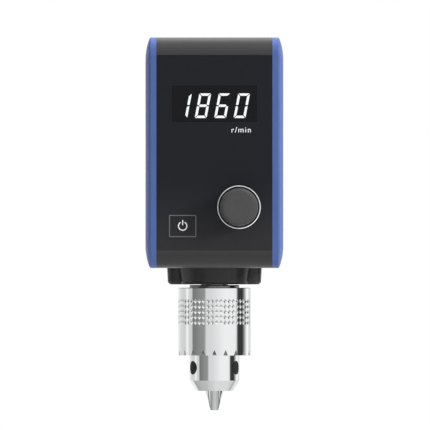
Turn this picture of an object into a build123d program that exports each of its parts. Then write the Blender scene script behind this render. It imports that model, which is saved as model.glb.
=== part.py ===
from build123d import *
from math import cos, radians, sin, tan
import os

os.makedirs("parts", exist_ok=True)

# Overhead stirrer. Millimetres, +Z up, front towards -Y.
# The origin lies on the spindle axis, level with the tips of the chuck jaws at rest.

# Clearances
seat_gap = 0.1
slide_gap = 0.05
run_gap = 0.3
cut_margin = 0.5

# Chuck
jaw_reach = 8.5
jaw_angle = 18.0
jaw_radius = 2.6
jaw_length = 31.6
jaw_chamfer = 1.6
jaw_tip_radius = 1.48
jaw_flank_gap = 0.275
rest_opening = 1.0
smallest_opening = 0.5
largest_opening = 8.0
nose_tip_radius = 8.1
nose_cone = 4.5
nose_length = 11.0
body_radius = 10.95
tool_bore_radius = 4.3
tool_bore_web = 3.9
flange_thickness = 4.4
flange_radius = 13.95
groove_radius = 9.3
nut_height = 5.0
tail_edge = 0.4
taper_radius = 6.0325
taper_length = 18.5
taper_slope = 0.02494
key_hole_radius = 3.0
key_hole_depth = 3.9
key_hole_drop = 5.4

# Sleeve
sleeve_radius = 15.95
sleeve_height = 29.5
sleeve_wall = 1.65
sleeve_lip = 2.4
sleeve_edge = 0.5
crown_teeth = 20
crown_depth = 2.5
crown_gap_width = 2.2
crown_inner_depth = 0.3
tail_show = 1.2

# Neck
neck_height = 7.2
neck_top_radius = 16.45
neck_foot_radius = 15.45
neck_edge = 0.9
ear_span = 41.4
ear_depth = 9.0
ear_corner = 4.0
ear_draft = 3.0
spigot_radius = 14.6
seal_radius = 10.5
seal_height = 2.4
seal_lip = 0.4
seal_ledge = 1.0
neck_screw_span = 33.6

# Housing
housing_width = 60.0
housing_depth = 76.0
housing_height = 100.4
housing_corner = 7.5
housing_wall = 2.5
spindle_lead = 1.0
cover_width = 4.75
cover_rim = 2.55
cover_wall = 2.2
crown_reach = 8.7
crown_steps = 6
crown_power = 4 / 3
crown_squaring = 0.15
cover_lip = 1.5
tongue_width = 5.0
tongue_length = 6.0
catch_height = 0.6
catch_length = 1.5

# Front panel
overlay_thickness = 0.8
window_width = 37.0
window_height = 15.9
window_drop = 28.9
window_ledge = 0.9
module_width = 34.0
module_height = 13.4
knob_x = 10.7
knob_rise = 26.5
key_x = -13.8
key_rise = 18.3
key_width = 11.8
key_height = 9.6
key_corner = 0.5
key_travel = 0.5
key_stem_radius = 2.0
pcb_setback = 5.5
pcb_thickness = 1.6
pcb_margin = 2.3
pcb_height = 78.0
pcb_drop = 1.5
pcb_rest_width = 4.0
hook_width = 6.0
hook_spacing = 6.0
hook_wall = 1.5
hook_bite = 1.5

# Knob and encoder
knob_radius = 8.35
knob_face_radius = 8.15
knob_length = 10.7
knob_edge = 0.7
knob_face_wall = 1.5
knob_gap = 0.8
knob_travel = 0.5
encoder_width = 12.4
encoder_height = 13.2
encoder_wall = 0.8
bush_radius = 3.5
bush_length = 3.5
encoder_nut_width = 10.0
encoder_nut_height = 2.0
shaft_radius = 3.0
shaft_flat = 1.6
switch_width = 6.2
switch_height = 3.3
plunger_radius = 1.7
plunger_clearance = 0.4
switch_base = 0.8

# Spindle bearings
journal_radius = 5.0
top_journal_radius = 4.0
lower_bearing_radius = 13.0
lower_bearing_width = 8.0
upper_bearing_radius = 11.0
upper_bearing_width = 7.0
inner_race_wall = 2.1
bearing_ledge = 1.0
bearing_step = 1.0
shaft_end = 0.5
circlip_height = 1.0
circlip_reach = 2.2
circlip_bite = 0.4

# Motor
flange_plate_depth = 46.0
flange_plate_gap = 0.75
flange_plate_height = 4.0
flange_plate_corner = 4.0
motor_radius = 20.5
motor_wall = 1.5
motor_length = 34.0
bell_height = 3.0
bell_boss_wall = 2.5
bell_cap = 1.5
bell_ledge = 2.0
bell_clearance = 1.0
stator_length = 22.0
stator_ring_width = 3.4
stator_teeth = 6
tooth_width = 5.0
tooth_length = 4.8
tooth_shoe = 1.4
slot_opening = 2.4
air_gap = 0.7
coil_width = 9.4
coil_overhang = 3.5
magnet_count = 4
magnet_thickness = 2.0
magnet_gap = 1.2
rotor_overhang = 1.0

# Stand rod and its block
rod_radius = 6.5
rod_length = 130.0
rod_spigot_radius = 5.0
rod_edge = 1.0
rod_drop = 30.4
block_width = 28.0
block_height = 24.0
block_gap = 0.5
block_web = 2.0
block_edge = 1.5
block_screw_span = 21.0

# Drive board and supply socket
drive_pcb_drop = 11.5
drive_front_gap = 12.4
drive_rear_gap = 1.5
hanger_width = 20.0
hanger_wall = 2.5
capacitor_radius = 4.0
capacitor_height = 10.0
capacitor_count = 2
capacitor_pitch = 12.0
inlet_rise = 22.8
inlet_barrel_radius = 5.5
inlet_barrel_length = 11.0
inlet_rim_radius = 7.0
inlet_rim = 1.5
inlet_edge = 0.5
inlet_socket_radius = 3.2
inlet_socket_depth = 9.5
inlet_pin_radius = 1.05
inlet_pin_setback = 1.0
inlet_nut_width = 14.0
inlet_nut_height = 2.5

# Screws
neck_screw_radius = 1.25
neck_head_radius = 2.25
neck_head_height = 2.6
neck_screw_length = 10.0
block_screw_radius = 2.0
block_head_radius = 3.8
block_screw_length = 12.0

# Levels up the spindle axis
nose_bottom = jaw_reach
nose_top = nose_bottom + nose_cone
sleeve_bottom = nose_top + nose_length
nut_bottom = sleeve_bottom + sleeve_lip
nut_top = nut_bottom + nut_height
groove_bottom = nut_bottom - run_gap / 2
flange_bottom = nut_top + run_gap / 2
flange_top = flange_bottom + flange_thickness
sleeve_top = sleeve_bottom + sleeve_height
tail_top = sleeve_top + tail_show
taper_bottom = tail_top - taper_length
neck_bottom = tail_top + run_gap
housing_bottom = neck_bottom + neck_height
housing_top = housing_bottom + housing_height
floor_level = housing_bottom + housing_wall
ceiling_level = housing_top - housing_wall
housing_middle = (housing_bottom + housing_top) / 2
seal_bottom = neck_bottom + seal_lip
lower_bearing_bottom = seal_bottom + seal_height
lower_bearing_top = lower_bearing_bottom + lower_bearing_width
plate_top = floor_level + flange_plate_height
can_top = plate_top + motor_length
bell_top = can_top + bell_height
upper_bearing_bottom = can_top + bearing_step
upper_bearing_top = upper_bearing_bottom + upper_bearing_width
motor_middle = (plate_top + can_top) / 2
stator_bottom = motor_middle - stator_length / 2
stator_top = motor_middle + stator_length / 2
rotor_bottom = stator_bottom - rotor_overhang
rotor_top = stator_top + rotor_overhang

# Places from front to back
middle_y = spindle_lead
front_y = middle_y - housing_depth / 2
rear_y = middle_y + housing_depth / 2
inner_front_y = front_y + housing_wall
inner_rear_y = rear_y - housing_wall
pcb_front_y = inner_front_y + pcb_setback
pcb_back_y = pcb_front_y + pcb_thickness
tube_half = housing_width / 2 - cover_width

# Sizes that follow from the ones above
lip_inset = housing_wall + seat_gap
cavity_inset = lip_inset + cover_lip
jaw_lean = tan(radians(jaw_angle))
jaw_start = jaw_tip_radius - jaw_radius / cos(radians(jaw_angle))
jaw_bore_radius = jaw_radius + slide_gap
sleeve_bore = sleeve_radius - sleeve_wall
lip_bore = body_radius + run_gap
socket_foot_radius = taper_radius - taper_length * taper_slope
key_hole_level = sleeve_bottom - key_hole_drop
window_level = housing_top - window_drop
knob_level = housing_bottom + knob_rise
key_level = housing_bottom + key_rise
knob_base_y = front_y - knob_gap
knob_face_y = knob_base_y - knob_length
nut_face_y = front_y - encoder_nut_height
rod_level = housing_top - rod_drop
inlet_level = housing_bottom + inlet_rise
pcb_half = tube_half - pcb_margin
pcb_bottom = housing_middle - pcb_height / 2 - pcb_drop
pcb_top = pcb_bottom + pcb_height
stator_radius = motor_radius - motor_wall
flange_plate_width = 2 * (tube_half - cover_lip - flange_plate_gap)
rotor_radius = stator_radius - stator_ring_width - tooth_length - air_gap
block_front_y = motor_radius + block_gap
block_depth = inner_rear_y - block_front_y
drive_pcb_top = ceiling_level - drive_pcb_drop
drive_pcb_bottom = drive_pcb_top - pcb_thickness
tongue_places = (front_y + housing_corner + tongue_width / 2, rear_y - housing_corner - tongue_width / 2)


def jaw_axis_radius(level):
    """How far the axis of a jaw lies from the spindle axis at a level."""
    return jaw_start + level * jaw_lean


def front_plane(y):
    """A plane that faces the front, at a place from front to back."""
    return Plane.XZ.offset(-y)


def ring(inner, outer, bottom, top, mode=Mode.ADD):
    """A ring, or a disc where inner is 0, about the spindle axis."""
    with BuildSketch(Plane.XY.offset(bottom)) as section:
        Circle(outer)
        if inner > 0:
            Circle(inner, mode=Mode.SUBTRACT)
    extrude(section.sketch, amount=top - bottom, mode=mode)


def front_disc(x, z, radius, y_front, y_back, mode=Mode.ADD):
    """A disc whose axis runs from front to back."""
    with BuildSketch(front_plane(y_front)) as section:
        with Locations((x, z)):
            Circle(radius)
    extrude(section.sketch, amount=y_front - y_back, mode=mode)


def front_block(x, z, width, height, y_front, y_back, mode=Mode.ADD):
    """A block with its width along X and its height along Z."""
    with BuildSketch(front_plane(y_front)) as section:
        with Locations((x, z)):
            Rectangle(width, height)
    extrude(section.sketch, amount=y_front - y_back, mode=mode)


def housing_section(x, inset, corner):
    """The housing's outline from the side, drawn at x and set in all round."""
    with BuildSketch(Plane.YZ.offset(x)) as section:
        with Locations((middle_y, housing_middle)):
            RectangleRounded(housing_depth - 2 * inset, housing_height - 2 * inset, corner)
    return section.sketch


def save(piece, label):
    """Labels a finished piece and writes it to its own file."""
    piece.part.label = label
    export_step(piece.part, f"parts/{label}.step")


# Chuck body: turned from one bar, cone nose below, flange and tail above
with BuildPart() as chuck_body:
    with BuildSketch(Plane.XZ):
        with BuildLine():
            Polyline(
                (tool_bore_radius, nose_bottom),
                (nose_tip_radius, nose_bottom),
                (body_radius, nose_top),
                (body_radius, groove_bottom),
                (groove_radius, groove_bottom),
                (groove_radius, flange_bottom),
                (flange_radius, flange_bottom),
                (flange_radius, flange_top),
                (body_radius, flange_top),
                (body_radius, tail_top - tail_edge),
                (body_radius - tail_edge, tail_top),
                (taper_radius, tail_top),
                (socket_foot_radius, taper_bottom),
                (0, taper_bottom),
                (0, taper_bottom - tool_bore_web),
                (tool_bore_radius, taper_bottom - tool_bore_web),
                close=True,
            )
        make_face()
    revolve(axis=Axis.Z)
    # Inclined bores for the jaws
    for turn in (270, 30, 150):
        direction = Vector(cos(radians(turn)), sin(radians(turn)), 0)
        lean = direction * jaw_lean + Vector(0, 0, 1)
        with BuildSketch(Plane(origin=direction * jaw_start, z_dir=lean)) as bore:
            Circle(jaw_bore_radius)
        bore_end = (flange_top + largest_opening) / cos(radians(jaw_angle))
        extrude(bore.sketch, amount=bore_end, mode=Mode.SUBTRACT)
    # Pilot holes for the pinion of the key, midway between the jaws
    for turn in (330, 90, 210):
        direction = Vector(cos(radians(turn)), sin(radians(turn)), 0)
        foot = direction * (body_radius - key_hole_depth) + Vector(0, 0, key_hole_level)
        with BuildSketch(Plane(origin=foot, z_dir=direction)) as hole:
            Circle(key_hole_radius)
        extrude(hole.sketch, amount=key_hole_depth + cut_margin, mode=Mode.SUBTRACT)
save(chuck_body, "chuck_body")


# Jaws: round rods ground to a wedge at the nose, with a narrow land that grips the tool
def jaw(turn, label):
    direction = Vector(cos(radians(turn)), sin(radians(turn)), 0)
    lean = direction * jaw_lean + Vector(0, 0, 1)
    foot = direction * jaw_start
    with BuildPart() as rod:
        with BuildSketch(Plane(origin=foot, z_dir=lean)):
            Circle(jaw_radius)
        extrude(amount=jaw_length)
        chamfer(rod.edges().group_by(Axis.Z)[-1], jaw_chamfer)
        with BuildSketch(Plane(origin=foot, z_dir=lean)) as stub:
            Circle(jaw_radius)
        extrude(stub.sketch, amount=-jaw_radius)
        # The wedge of space that belongs to this jaw, from the tips upwards
        with BuildSketch(Plane(origin=(0, 0, 0), x_dir=direction, z_dir=(0, 0, 1))) as wedge:
            apex = jaw_flank_gap / sin(radians(60))
            reach = 2 * sleeve_radius
            with BuildLine():
                Polyline(
                    (apex, 0),
                    (apex + reach, reach * tan(radians(60))),
                    (apex + reach, -reach * tan(radians(60))),
                    close=True,
                )
            make_face()
            Circle(rest_opening / 2, mode=Mode.SUBTRACT)
        extrude(wedge.sketch, amount=2 * jaw_length, mode=Mode.INTERSECT)
    save(rod, label)
    return rod


jaw_front = jaw(270, "jaw_front")
jaw_right = jaw(30, "jaw_right")
jaw_left = jaw(150, "jaw_left")


# Sleeve: turned shell with a bevel crown for the key along its foot
with BuildPart() as crown_gap:
    with BuildSketch(Plane.XZ.offset(sleeve_radius + cut_margin)):
        outer_half = crown_gap_width / 2 * (crown_depth + cut_margin) / crown_depth
        with BuildLine():
            Polyline(
                (-outer_half, sleeve_bottom - cut_margin),
                (outer_half, sleeve_bottom - cut_margin),
                (0, sleeve_bottom + crown_depth),
                close=True,
            )
        make_face()
    with BuildSketch(Plane.XZ.offset(lip_bore - cut_margin)):
        inner_half = crown_gap_width / 2 * (crown_inner_depth + cut_margin) / crown_depth
        with BuildLine():
            Polyline(
                (-inner_half, sleeve_bottom - cut_margin),
                (inner_half, sleeve_bottom - cut_margin),
                (0, sleeve_bottom + crown_inner_depth),
                close=True,
            )
        make_face()
    loft(ruled=True)

with BuildPart() as chuck_sleeve:
    with BuildSketch(Plane.XZ):
        with BuildLine():
            Polyline(
                (lip_bore, sleeve_bottom),
                (sleeve_radius, sleeve_bottom),
                (sleeve_radius, sleeve_top - sleeve_edge),
                (sleeve_radius - sleeve_edge, sleeve_top),
                (sleeve_bore, sleeve_top),
                (sleeve_bore, nut_bottom),
                (lip_bore, nut_bottom),
                close=True,
            )
        make_face()
    revolve(axis=Axis.Z)
    with PolarLocations(0, crown_teeth):
        add(crown_gap.part, mode=Mode.SUBTRACT)
save(chuck_sleeve, "chuck_sleeve")

# Split nut: two halves laid in the groove of the body and held by the sleeve
with BuildPart() as split_nut:
    nut_foot_radius = jaw_axis_radius(nut_bottom) + jaw_bore_radius / cos(radians(jaw_angle)) + slide_gap
    nut_head_radius = jaw_axis_radius(nut_top) + jaw_bore_radius / cos(radians(jaw_angle)) + slide_gap
    with BuildSketch(Plane.XZ):
        with BuildLine():
            Polyline(
                (nut_foot_radius, nut_bottom),
                (sleeve_bore, nut_bottom),
                (sleeve_bore, nut_top),
                (nut_head_radius, nut_top),
                close=True,
            )
        make_face()
    revolve(axis=Axis.Z)
    with BuildSketch(Plane.XY.offset(nut_bottom)) as parting:
        Rectangle(2 * sleeve_radius, run_gap)
    extrude(parting.sketch, amount=nut_height, mode=Mode.SUBTRACT)
save(split_nut, "split_nut")

# Spindle: taper nose for the chuck, bearing journals, and the seat of the rotor between them
with BuildPart() as spindle_shaft:
    clip_foot = lower_bearing_top
    clip_groove = journal_radius - circlip_bite
    shaft_top = upper_bearing_top + shaft_end
    with BuildSketch(Plane.XZ):
        with BuildLine():
            Polyline(
                (0, taper_bottom + seat_gap),
                (socket_foot_radius + seat_gap * taper_slope, taper_bottom + seat_gap),
                (taper_radius, tail_top),
                (taper_radius, lower_bearing_bottom),
                (journal_radius, lower_bearing_bottom),
                (journal_radius, clip_foot),
                (clip_groove, clip_foot),
                (clip_groove, clip_foot + circlip_height),
                (journal_radius, clip_foot + circlip_height),
                (journal_radius, upper_bearing_bottom),
                (top_journal_radius, upper_bearing_bottom),
                (top_journal_radius, shaft_top),
                (0, shaft_top),
                close=True,
            )
        make_face()
    revolve(axis=Axis.Z)
save(spindle_shaft, "spindle_shaft")


# Sealed ball bearings: the outer ring with its balls and seals, and the inner ring
def bearing(bore, outside, bottom, top, name):
    with BuildPart() as outer_ring:
        ring(bore + inner_race_wall + slide_gap, outside, bottom, top)
    save(outer_ring, name + "_outer")
    with BuildPart() as inner_ring:
        ring(bore, bore + inner_race_wall, bottom, top)
    save(inner_ring, name + "_inner")


bearing(journal_radius, lower_bearing_radius, lower_bearing_bottom, lower_bearing_top, "lower_bearing")
bearing(top_journal_radius, upper_bearing_radius, upper_bearing_bottom, upper_bearing_top, "upper_bearing")

# Circlip above the lower bearing
with BuildPart() as circlip:
    ring(journal_radius - circlip_bite, journal_radius + circlip_reach, clip_foot, clip_foot + circlip_height)
    with BuildSketch(Plane.XY.offset(clip_foot)) as mouth:
        with Locations((0, journal_radius + circlip_reach / 2)):
            Rectangle(journal_radius, 2 * (circlip_reach + cut_margin))
    extrude(mouth.sketch, amount=circlip_height, mode=Mode.SUBTRACT)
save(circlip, "circlip")

# Rotor: laminated core pressed on the spindle, with curved magnets round it
core_radius = rotor_radius - magnet_thickness
with BuildPart() as rotor_core:
    ring(journal_radius, core_radius, rotor_bottom, rotor_top)
save(rotor_core, "rotor_core")

with BuildPart() as rotor_magnets:
    ring(core_radius, rotor_radius, rotor_bottom, rotor_top)
    with BuildSketch(Plane.XY.offset(rotor_bottom)) as parting:
        with PolarLocations(core_radius, magnet_count):
            Rectangle(4 * magnet_thickness, magnet_gap)
    extrude(parting.sketch, amount=rotor_top - rotor_bottom, mode=Mode.SUBTRACT)
save(rotor_magnets, "rotor_magnets")

# Neck: die-cast flange with a round boss and two ears, it holds the seal and the lower bearing
with BuildPart() as neck_flange:
    with BuildSketch(Plane.XZ):
        with BuildLine():
            Polyline(
                (0, neck_bottom),
                (neck_foot_radius, neck_bottom),
                (neck_top_radius, housing_bottom),
                (0, housing_bottom),
                close=True,
            )
        make_face()
    revolve(axis=Axis.Z)
    with BuildSketch(Plane.XY.offset(housing_bottom)) as ears:
        RectangleRounded(ear_span, ear_depth, ear_corner)
    extrude(ears.sketch, amount=-neck_height, taper=ear_draft)
    chamfer(neck_flange.faces().sort_by(Axis.Z)[0].outer_wire().edges(), neck_edge)
    ring(0, spigot_radius, housing_bottom, lower_bearing_top)
    ring(0, seal_radius - seal_ledge, neck_bottom, seal_bottom, mode=Mode.SUBTRACT)
    ring(0, seal_radius, seal_bottom, lower_bearing_bottom, mode=Mode.SUBTRACT)
    ring(0, lower_bearing_radius, lower_bearing_bottom, lower_bearing_top, mode=Mode.SUBTRACT)
    for x in (-neck_screw_span / 2, neck_screw_span / 2):
        with BuildSketch(Plane.XY.offset(neck_bottom)) as shank_hole:
            with Locations((x, 0)):
                Circle(neck_screw_radius + seat_gap)
        extrude(shank_hole.sketch, amount=neck_height, mode=Mode.SUBTRACT)
        with BuildSketch(Plane.XY.offset(neck_bottom)) as head_hole:
            with Locations((x, 0)):
                Circle(neck_head_radius + seat_gap)
        extrude(head_hole.sketch, amount=neck_head_height + seat_gap, mode=Mode.SUBTRACT)
save(neck_flange, "neck_flange")

# Rubber lip seal round the spindle
with BuildPart() as shaft_seal:
    ring(taper_radius + seat_gap, seal_radius, seal_bottom, lower_bearing_bottom)
save(shaft_seal, "shaft_seal")

# Cap screws from below that hold the ears, the floor and the motor flange together
neck_head_level = neck_bottom + neck_head_height + seat_gap
neck_screw_places = [(-neck_screw_span / 2, 0), (neck_screw_span / 2, 0)]
with BuildPart() as neck_screws:
    with BuildSketch(Plane.XY.offset(neck_head_level)) as heads:
        with Locations(*neck_screw_places):
            Circle(neck_head_radius)
    extrude(heads.sketch, amount=-neck_head_height)
    with BuildSketch(Plane.XY.offset(neck_head_level)) as shanks:
        with Locations(*neck_screw_places):
            Circle(neck_screw_radius)
    extrude(shanks.sketch, amount=neck_screw_length)
save(neck_screws, "neck_screws")

# Motor flange: square plate that stands on the floor round the spigot of the neck
with BuildPart() as motor_flange:
    with BuildSketch(Plane.XY.offset(floor_level)):
        RectangleRounded(flange_plate_width, flange_plate_depth, flange_plate_corner)
        with Locations(*neck_screw_places):
            Circle(neck_screw_radius, mode=Mode.SUBTRACT)
    extrude(amount=flange_plate_height)
    ring(0, spigot_radius + seat_gap, floor_level, lower_bearing_top, mode=Mode.SUBTRACT)
    ring(0, lower_bearing_radius - bearing_ledge, lower_bearing_top, plate_top, mode=Mode.SUBTRACT)
save(motor_flange, "motor_flange")

# Motor can: drawn steel tube
with BuildPart() as motor_can:
    ring(stator_radius, motor_radius, plate_top, can_top)
save(motor_can, "motor_can")

# End bell: closes the can and holds the upper bearing
with BuildPart() as motor_end_bell:
    bell_boss_radius = upper_bearing_radius + bell_boss_wall
    bell_inside_top = upper_bearing_top + bell_clearance
    ring(0, motor_radius, can_top, bell_top)
    ring(0, bell_boss_radius, bell_top, bell_inside_top + bell_cap)
    ring(0, upper_bearing_radius, can_top, upper_bearing_top, mode=Mode.SUBTRACT)
    ring(0, upper_bearing_radius - bell_ledge, upper_bearing_top, bell_inside_top, mode=Mode.SUBTRACT)
save(motor_end_bell, "motor_end_bell")

# Stator: toothed core, and one coil round each tooth
tooth_foot = rotor_radius + air_gap
tooth_root = stator_radius - stator_ring_width
tooth_start = tooth_foot + tooth_shoe / 2
tooth_end = tooth_root + stator_ring_width / 2
with BuildPart() as stator_core:
    with BuildSketch(Plane.XY.offset(stator_bottom)):
        Circle(stator_radius)
        Circle(tooth_root, mode=Mode.SUBTRACT)
        Circle(tooth_foot + tooth_shoe)
        Circle(tooth_foot, mode=Mode.SUBTRACT)
        with PolarLocations((tooth_start + tooth_end) / 2, stator_teeth):
            Rectangle(tooth_end - tooth_start, tooth_width)
        with PolarLocations(tooth_start, stator_teeth, start_angle=180 / stator_teeth):
            Rectangle(2 * tooth_shoe, slot_opening, mode=Mode.SUBTRACT)
    extrude(amount=stator_length)
save(stator_core, "stator_core")

coil_foot = tooth_foot + tooth_shoe + seat_gap
coil_root = (tooth_root ** 2 - (coil_width / 2) ** 2) ** 0.5 - seat_gap
with BuildPart() as stator_windings:
    with BuildSketch(Plane.XY.offset(stator_bottom - coil_overhang)):
        with PolarLocations((coil_foot + coil_root) / 2, stator_teeth):
            Rectangle(coil_root - coil_foot, coil_width)
    extrude(amount=stator_length + 2 * coil_overhang)
    with BuildSketch(Plane.XY.offset(stator_bottom - seat_gap)) as inside:
        with PolarLocations((coil_foot + coil_root) / 2, stator_teeth):
            Rectangle(coil_root - coil_foot + 2 * cut_margin, tooth_width + 2 * seat_gap)
    extrude(inside.sketch, amount=stator_length + 2 * seat_gap, mode=Mode.SUBTRACT)
save(stator_windings, "stator_windings")

# Main housing: one black tube open at both sides, with the front, floor, top and back
pcb_rest_x = pcb_half - pcb_rest_width / 2
pcb_rest_levels = (pcb_bottom + pcb_rest_width / 2, pcb_top - pcb_rest_width / 2)
hook_back_y = pcb_back_y + slide_gap + hook_wall
drive_front_y = pcb_back_y + drive_front_gap
drive_back_y = inner_rear_y - drive_rear_gap
block_screw_places = [(-block_screw_span / 2, rod_level), (block_screw_span / 2, rod_level)]
overlay_height = housing_height - 2 * housing_corner - 4 * seat_gap
key_pocket_gap = 0.15

with BuildPart() as main_housing:
    outline = housing_section(0, 0, housing_corner)
    extrude(outline, amount=tube_half, both=True)
    hollow = housing_section(0, housing_wall, housing_corner - housing_wall)
    extrude(hollow, amount=tube_half, both=True, mode=Mode.SUBTRACT)
    # Recess for the front panel
    front_block(
        0, housing_middle, 2 * tube_half, overlay_height + seat_gap,
        front_y, front_y + overlay_thickness, mode=Mode.SUBTRACT,
    )
    # Openings for the window, the knob and the key
    front_block(
        0, window_level, window_width - 2 * window_ledge, window_height - 2 * window_ledge,
        front_y, inner_front_y, mode=Mode.SUBTRACT,
    )
    front_disc(knob_x, knob_level, bush_radius + seat_gap, front_y, inner_front_y, mode=Mode.SUBTRACT)
    front_disc(key_x, key_level, key_stem_radius + run_gap, front_y, inner_front_y, mode=Mode.SUBTRACT)
    front_block(
        key_x, key_level, key_width + 2 * key_pocket_gap, key_height + 2 * key_pocket_gap,
        front_y, front_y + overlay_thickness + key_travel + run_gap, mode=Mode.SUBTRACT,
    )
    # Rests for the front board, and two hooks over its top edge
    for x in (-pcb_rest_x, pcb_rest_x):
        for level in pcb_rest_levels:
            front_block(x, level, pcb_rest_width, pcb_rest_width, inner_front_y, pcb_front_y)
        hook_x = x - hook_spacing if x > 0 else x + hook_spacing
        front_block(hook_x, pcb_top + hook_bite, hook_width, 2 * hook_bite, inner_front_y, hook_back_y)
        front_block(hook_x, pcb_top, hook_width, 2 * hook_bite, pcb_back_y + slide_gap, hook_back_y)
        front_block(
            hook_x, pcb_top - hook_bite, hook_width, 2 * hook_bite + 2 * seat_gap,
            pcb_front_y - slide_gap, pcb_back_y + slide_gap, mode=Mode.SUBTRACT,
        )
    # Hangers under the ceiling, with a groove for each end of the drive board
    for edge_y, inward in ((drive_front_y, 1), (drive_back_y, -1)):
        hanger_y = edge_y - inward * (seat_gap + hanger_wall / 2 - hook_bite)
        hanger_foot = drive_pcb_bottom - hook_wall
        with Locations((0, hanger_y, (ceiling_level + hanger_foot) / 2)):
            Box(hanger_width, hanger_wall, ceiling_level - hanger_foot)
        with Locations((0, edge_y, (drive_pcb_top + drive_pcb_bottom) / 2)):
            Box(hanger_width, 2 * seat_gap, pcb_thickness + 2 * slide_gap, mode=Mode.SUBTRACT)
        with Locations((0, edge_y + inward * hanger_wall / 2, (drive_pcb_top + drive_pcb_bottom) / 2)):
            Box(hanger_width, hanger_wall, pcb_thickness + 2 * slide_gap, mode=Mode.SUBTRACT)
    # Floor: opening for the neck and holes for its screws
    ring(0, spigot_radius + seat_gap, housing_bottom, floor_level, mode=Mode.SUBTRACT)
    with BuildSketch(Plane.XY.offset(housing_bottom)) as neck_holes:
        with Locations(*neck_screw_places):
            Circle(neck_screw_radius + seat_gap)
    extrude(neck_holes.sketch, amount=housing_wall, mode=Mode.SUBTRACT)
    # Back: openings for the stand rod, its block's screws and the supply socket
    front_disc(0, rod_level, rod_spigot_radius + seat_gap, inner_rear_y, rear_y, mode=Mode.SUBTRACT)
    front_disc(0, inlet_level, inlet_barrel_radius + seat_gap, inner_rear_y, rear_y, mode=Mode.SUBTRACT)
    with Locations(Plane(origin=(0, rear_y, 0), x_dir=(-1, 0, 0), z_dir=(0, 1, 0))):
        with Locations(*block_screw_places):
            CounterSinkHole(block_screw_radius + seat_gap, block_head_radius + seat_gap, housing_wall, 90)
    # Slots that the cover tongues snap into
    for side in (-1, 1):
        for y in tongue_places:
            slot_x = side * (tube_half - tongue_length + catch_length / 2)
            for level in (ceiling_level, floor_level):
                with Locations((slot_x, y, level)):
                    Box(
                        catch_length + 2 * run_gap,
                        tongue_width + 2 * run_gap,
                        2 * (catch_height + seat_gap),
                        mode=Mode.SUBTRACT,
                    )
save(main_housing, "main_housing")

# Side covers: moulded crowned shells, each with a lip and four snap tongues
crown_rise = cover_width - cover_rim
with BuildPart() as right_side_cover:
    for step in range(crown_steps + 1):
        sweep_angle = radians(90 * step / crown_steps)
        height = crown_rise * sin(sweep_angle) ** crown_power
        inset = crown_reach * (1 - cos(sweep_angle) ** crown_power)
        corner = housing_corner - crown_squaring * inset
        add(housing_section(tube_half + cover_rim + height, inset, corner))
    loft()
    extrude(housing_section(tube_half, 0, housing_corner), amount=cover_rim)
    # Hollow inside
    extrude(
        housing_section(tube_half, cavity_inset, housing_corner - cavity_inset),
        amount=cover_width - cover_wall,
        mode=Mode.SUBTRACT,
    )
    # Lip that fits inside the tube
    extrude(
        housing_section(tube_half, lip_inset, housing_corner - lip_inset)
        - housing_section(tube_half, cavity_inset, housing_corner - cavity_inset),
        amount=-cover_lip,
    )
    # Snap tongues with a catch at the end, against the ceiling and the floor
    half_inside = housing_height / 2 - lip_inset
    for y in tongue_places:
        for up in (-1, 1):
            face_level = housing_middle + up * half_inside
            tip_x = tube_half - tongue_length
            with BuildSketch(front_plane(y)) as tongue:
                with BuildLine():
                    Polyline(
                        (tube_half, face_level),
                        (tip_x + catch_length, face_level),
                        (tip_x + catch_length, face_level + up * catch_height),
                        (tip_x, face_level),
                        (tip_x, face_level - up * cover_lip),
                        (tube_half, face_level - up * cover_lip),
                        close=True,
                    )
                make_face()
            extrude(tongue.sketch, amount=tongue_width / 2, both=True)
save(right_side_cover, "right_side_cover")

with BuildPart() as left_side_cover:
    mirror(right_side_cover.part, about=Plane.YZ)
save(left_side_cover, "left_side_cover")

# Front panel: one flat sheet let into the housing
with BuildPart() as front_overlay:
    front_block(0, housing_middle, 2 * tube_half, overlay_height, front_y, front_y + overlay_thickness)
    front_block(
        0, window_level, window_width + 2 * seat_gap, window_height + 2 * seat_gap,
        front_y, front_y + overlay_thickness, mode=Mode.SUBTRACT,
    )
    front_disc(
        knob_x, knob_level, bush_radius + seat_gap, front_y, front_y + overlay_thickness, mode=Mode.SUBTRACT
    )
    with BuildSketch(front_plane(front_y)) as key_opening:
        with Locations((key_x, key_level)):
            RectangleRounded(key_width + 2 * key_pocket_gap, key_height + 2 * key_pocket_gap, key_corner)
    extrude(key_opening.sketch, amount=-overlay_thickness, mode=Mode.SUBTRACT)
save(front_overlay, "front_overlay")

# Display window: stepped smoked lens, flush with the panel
with BuildPart() as display_window:
    front_block(0, window_level, window_width, window_height, front_y, front_y + overlay_thickness)
    front_block(
        0, window_level,
        window_width - 2 * window_ledge - 2 * seat_gap, window_height - 2 * window_ledge - 2 * seat_gap,
        front_y + overlay_thickness, inner_front_y,
    )
save(display_window, "display_window")

# Display module: block with four figures, on the front board
with BuildPart() as display_module:
    front_block(0, window_level, module_width, module_height, inner_front_y + run_gap, pcb_front_y)
save(display_module, "display_module")

# Front board
with BuildPart() as front_pcb:
    front_block(0, (pcb_bottom + pcb_top) / 2, 2 * pcb_half, pcb_height, pcb_front_y, pcb_back_y)
save(front_pcb, "front_pcb")

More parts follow.
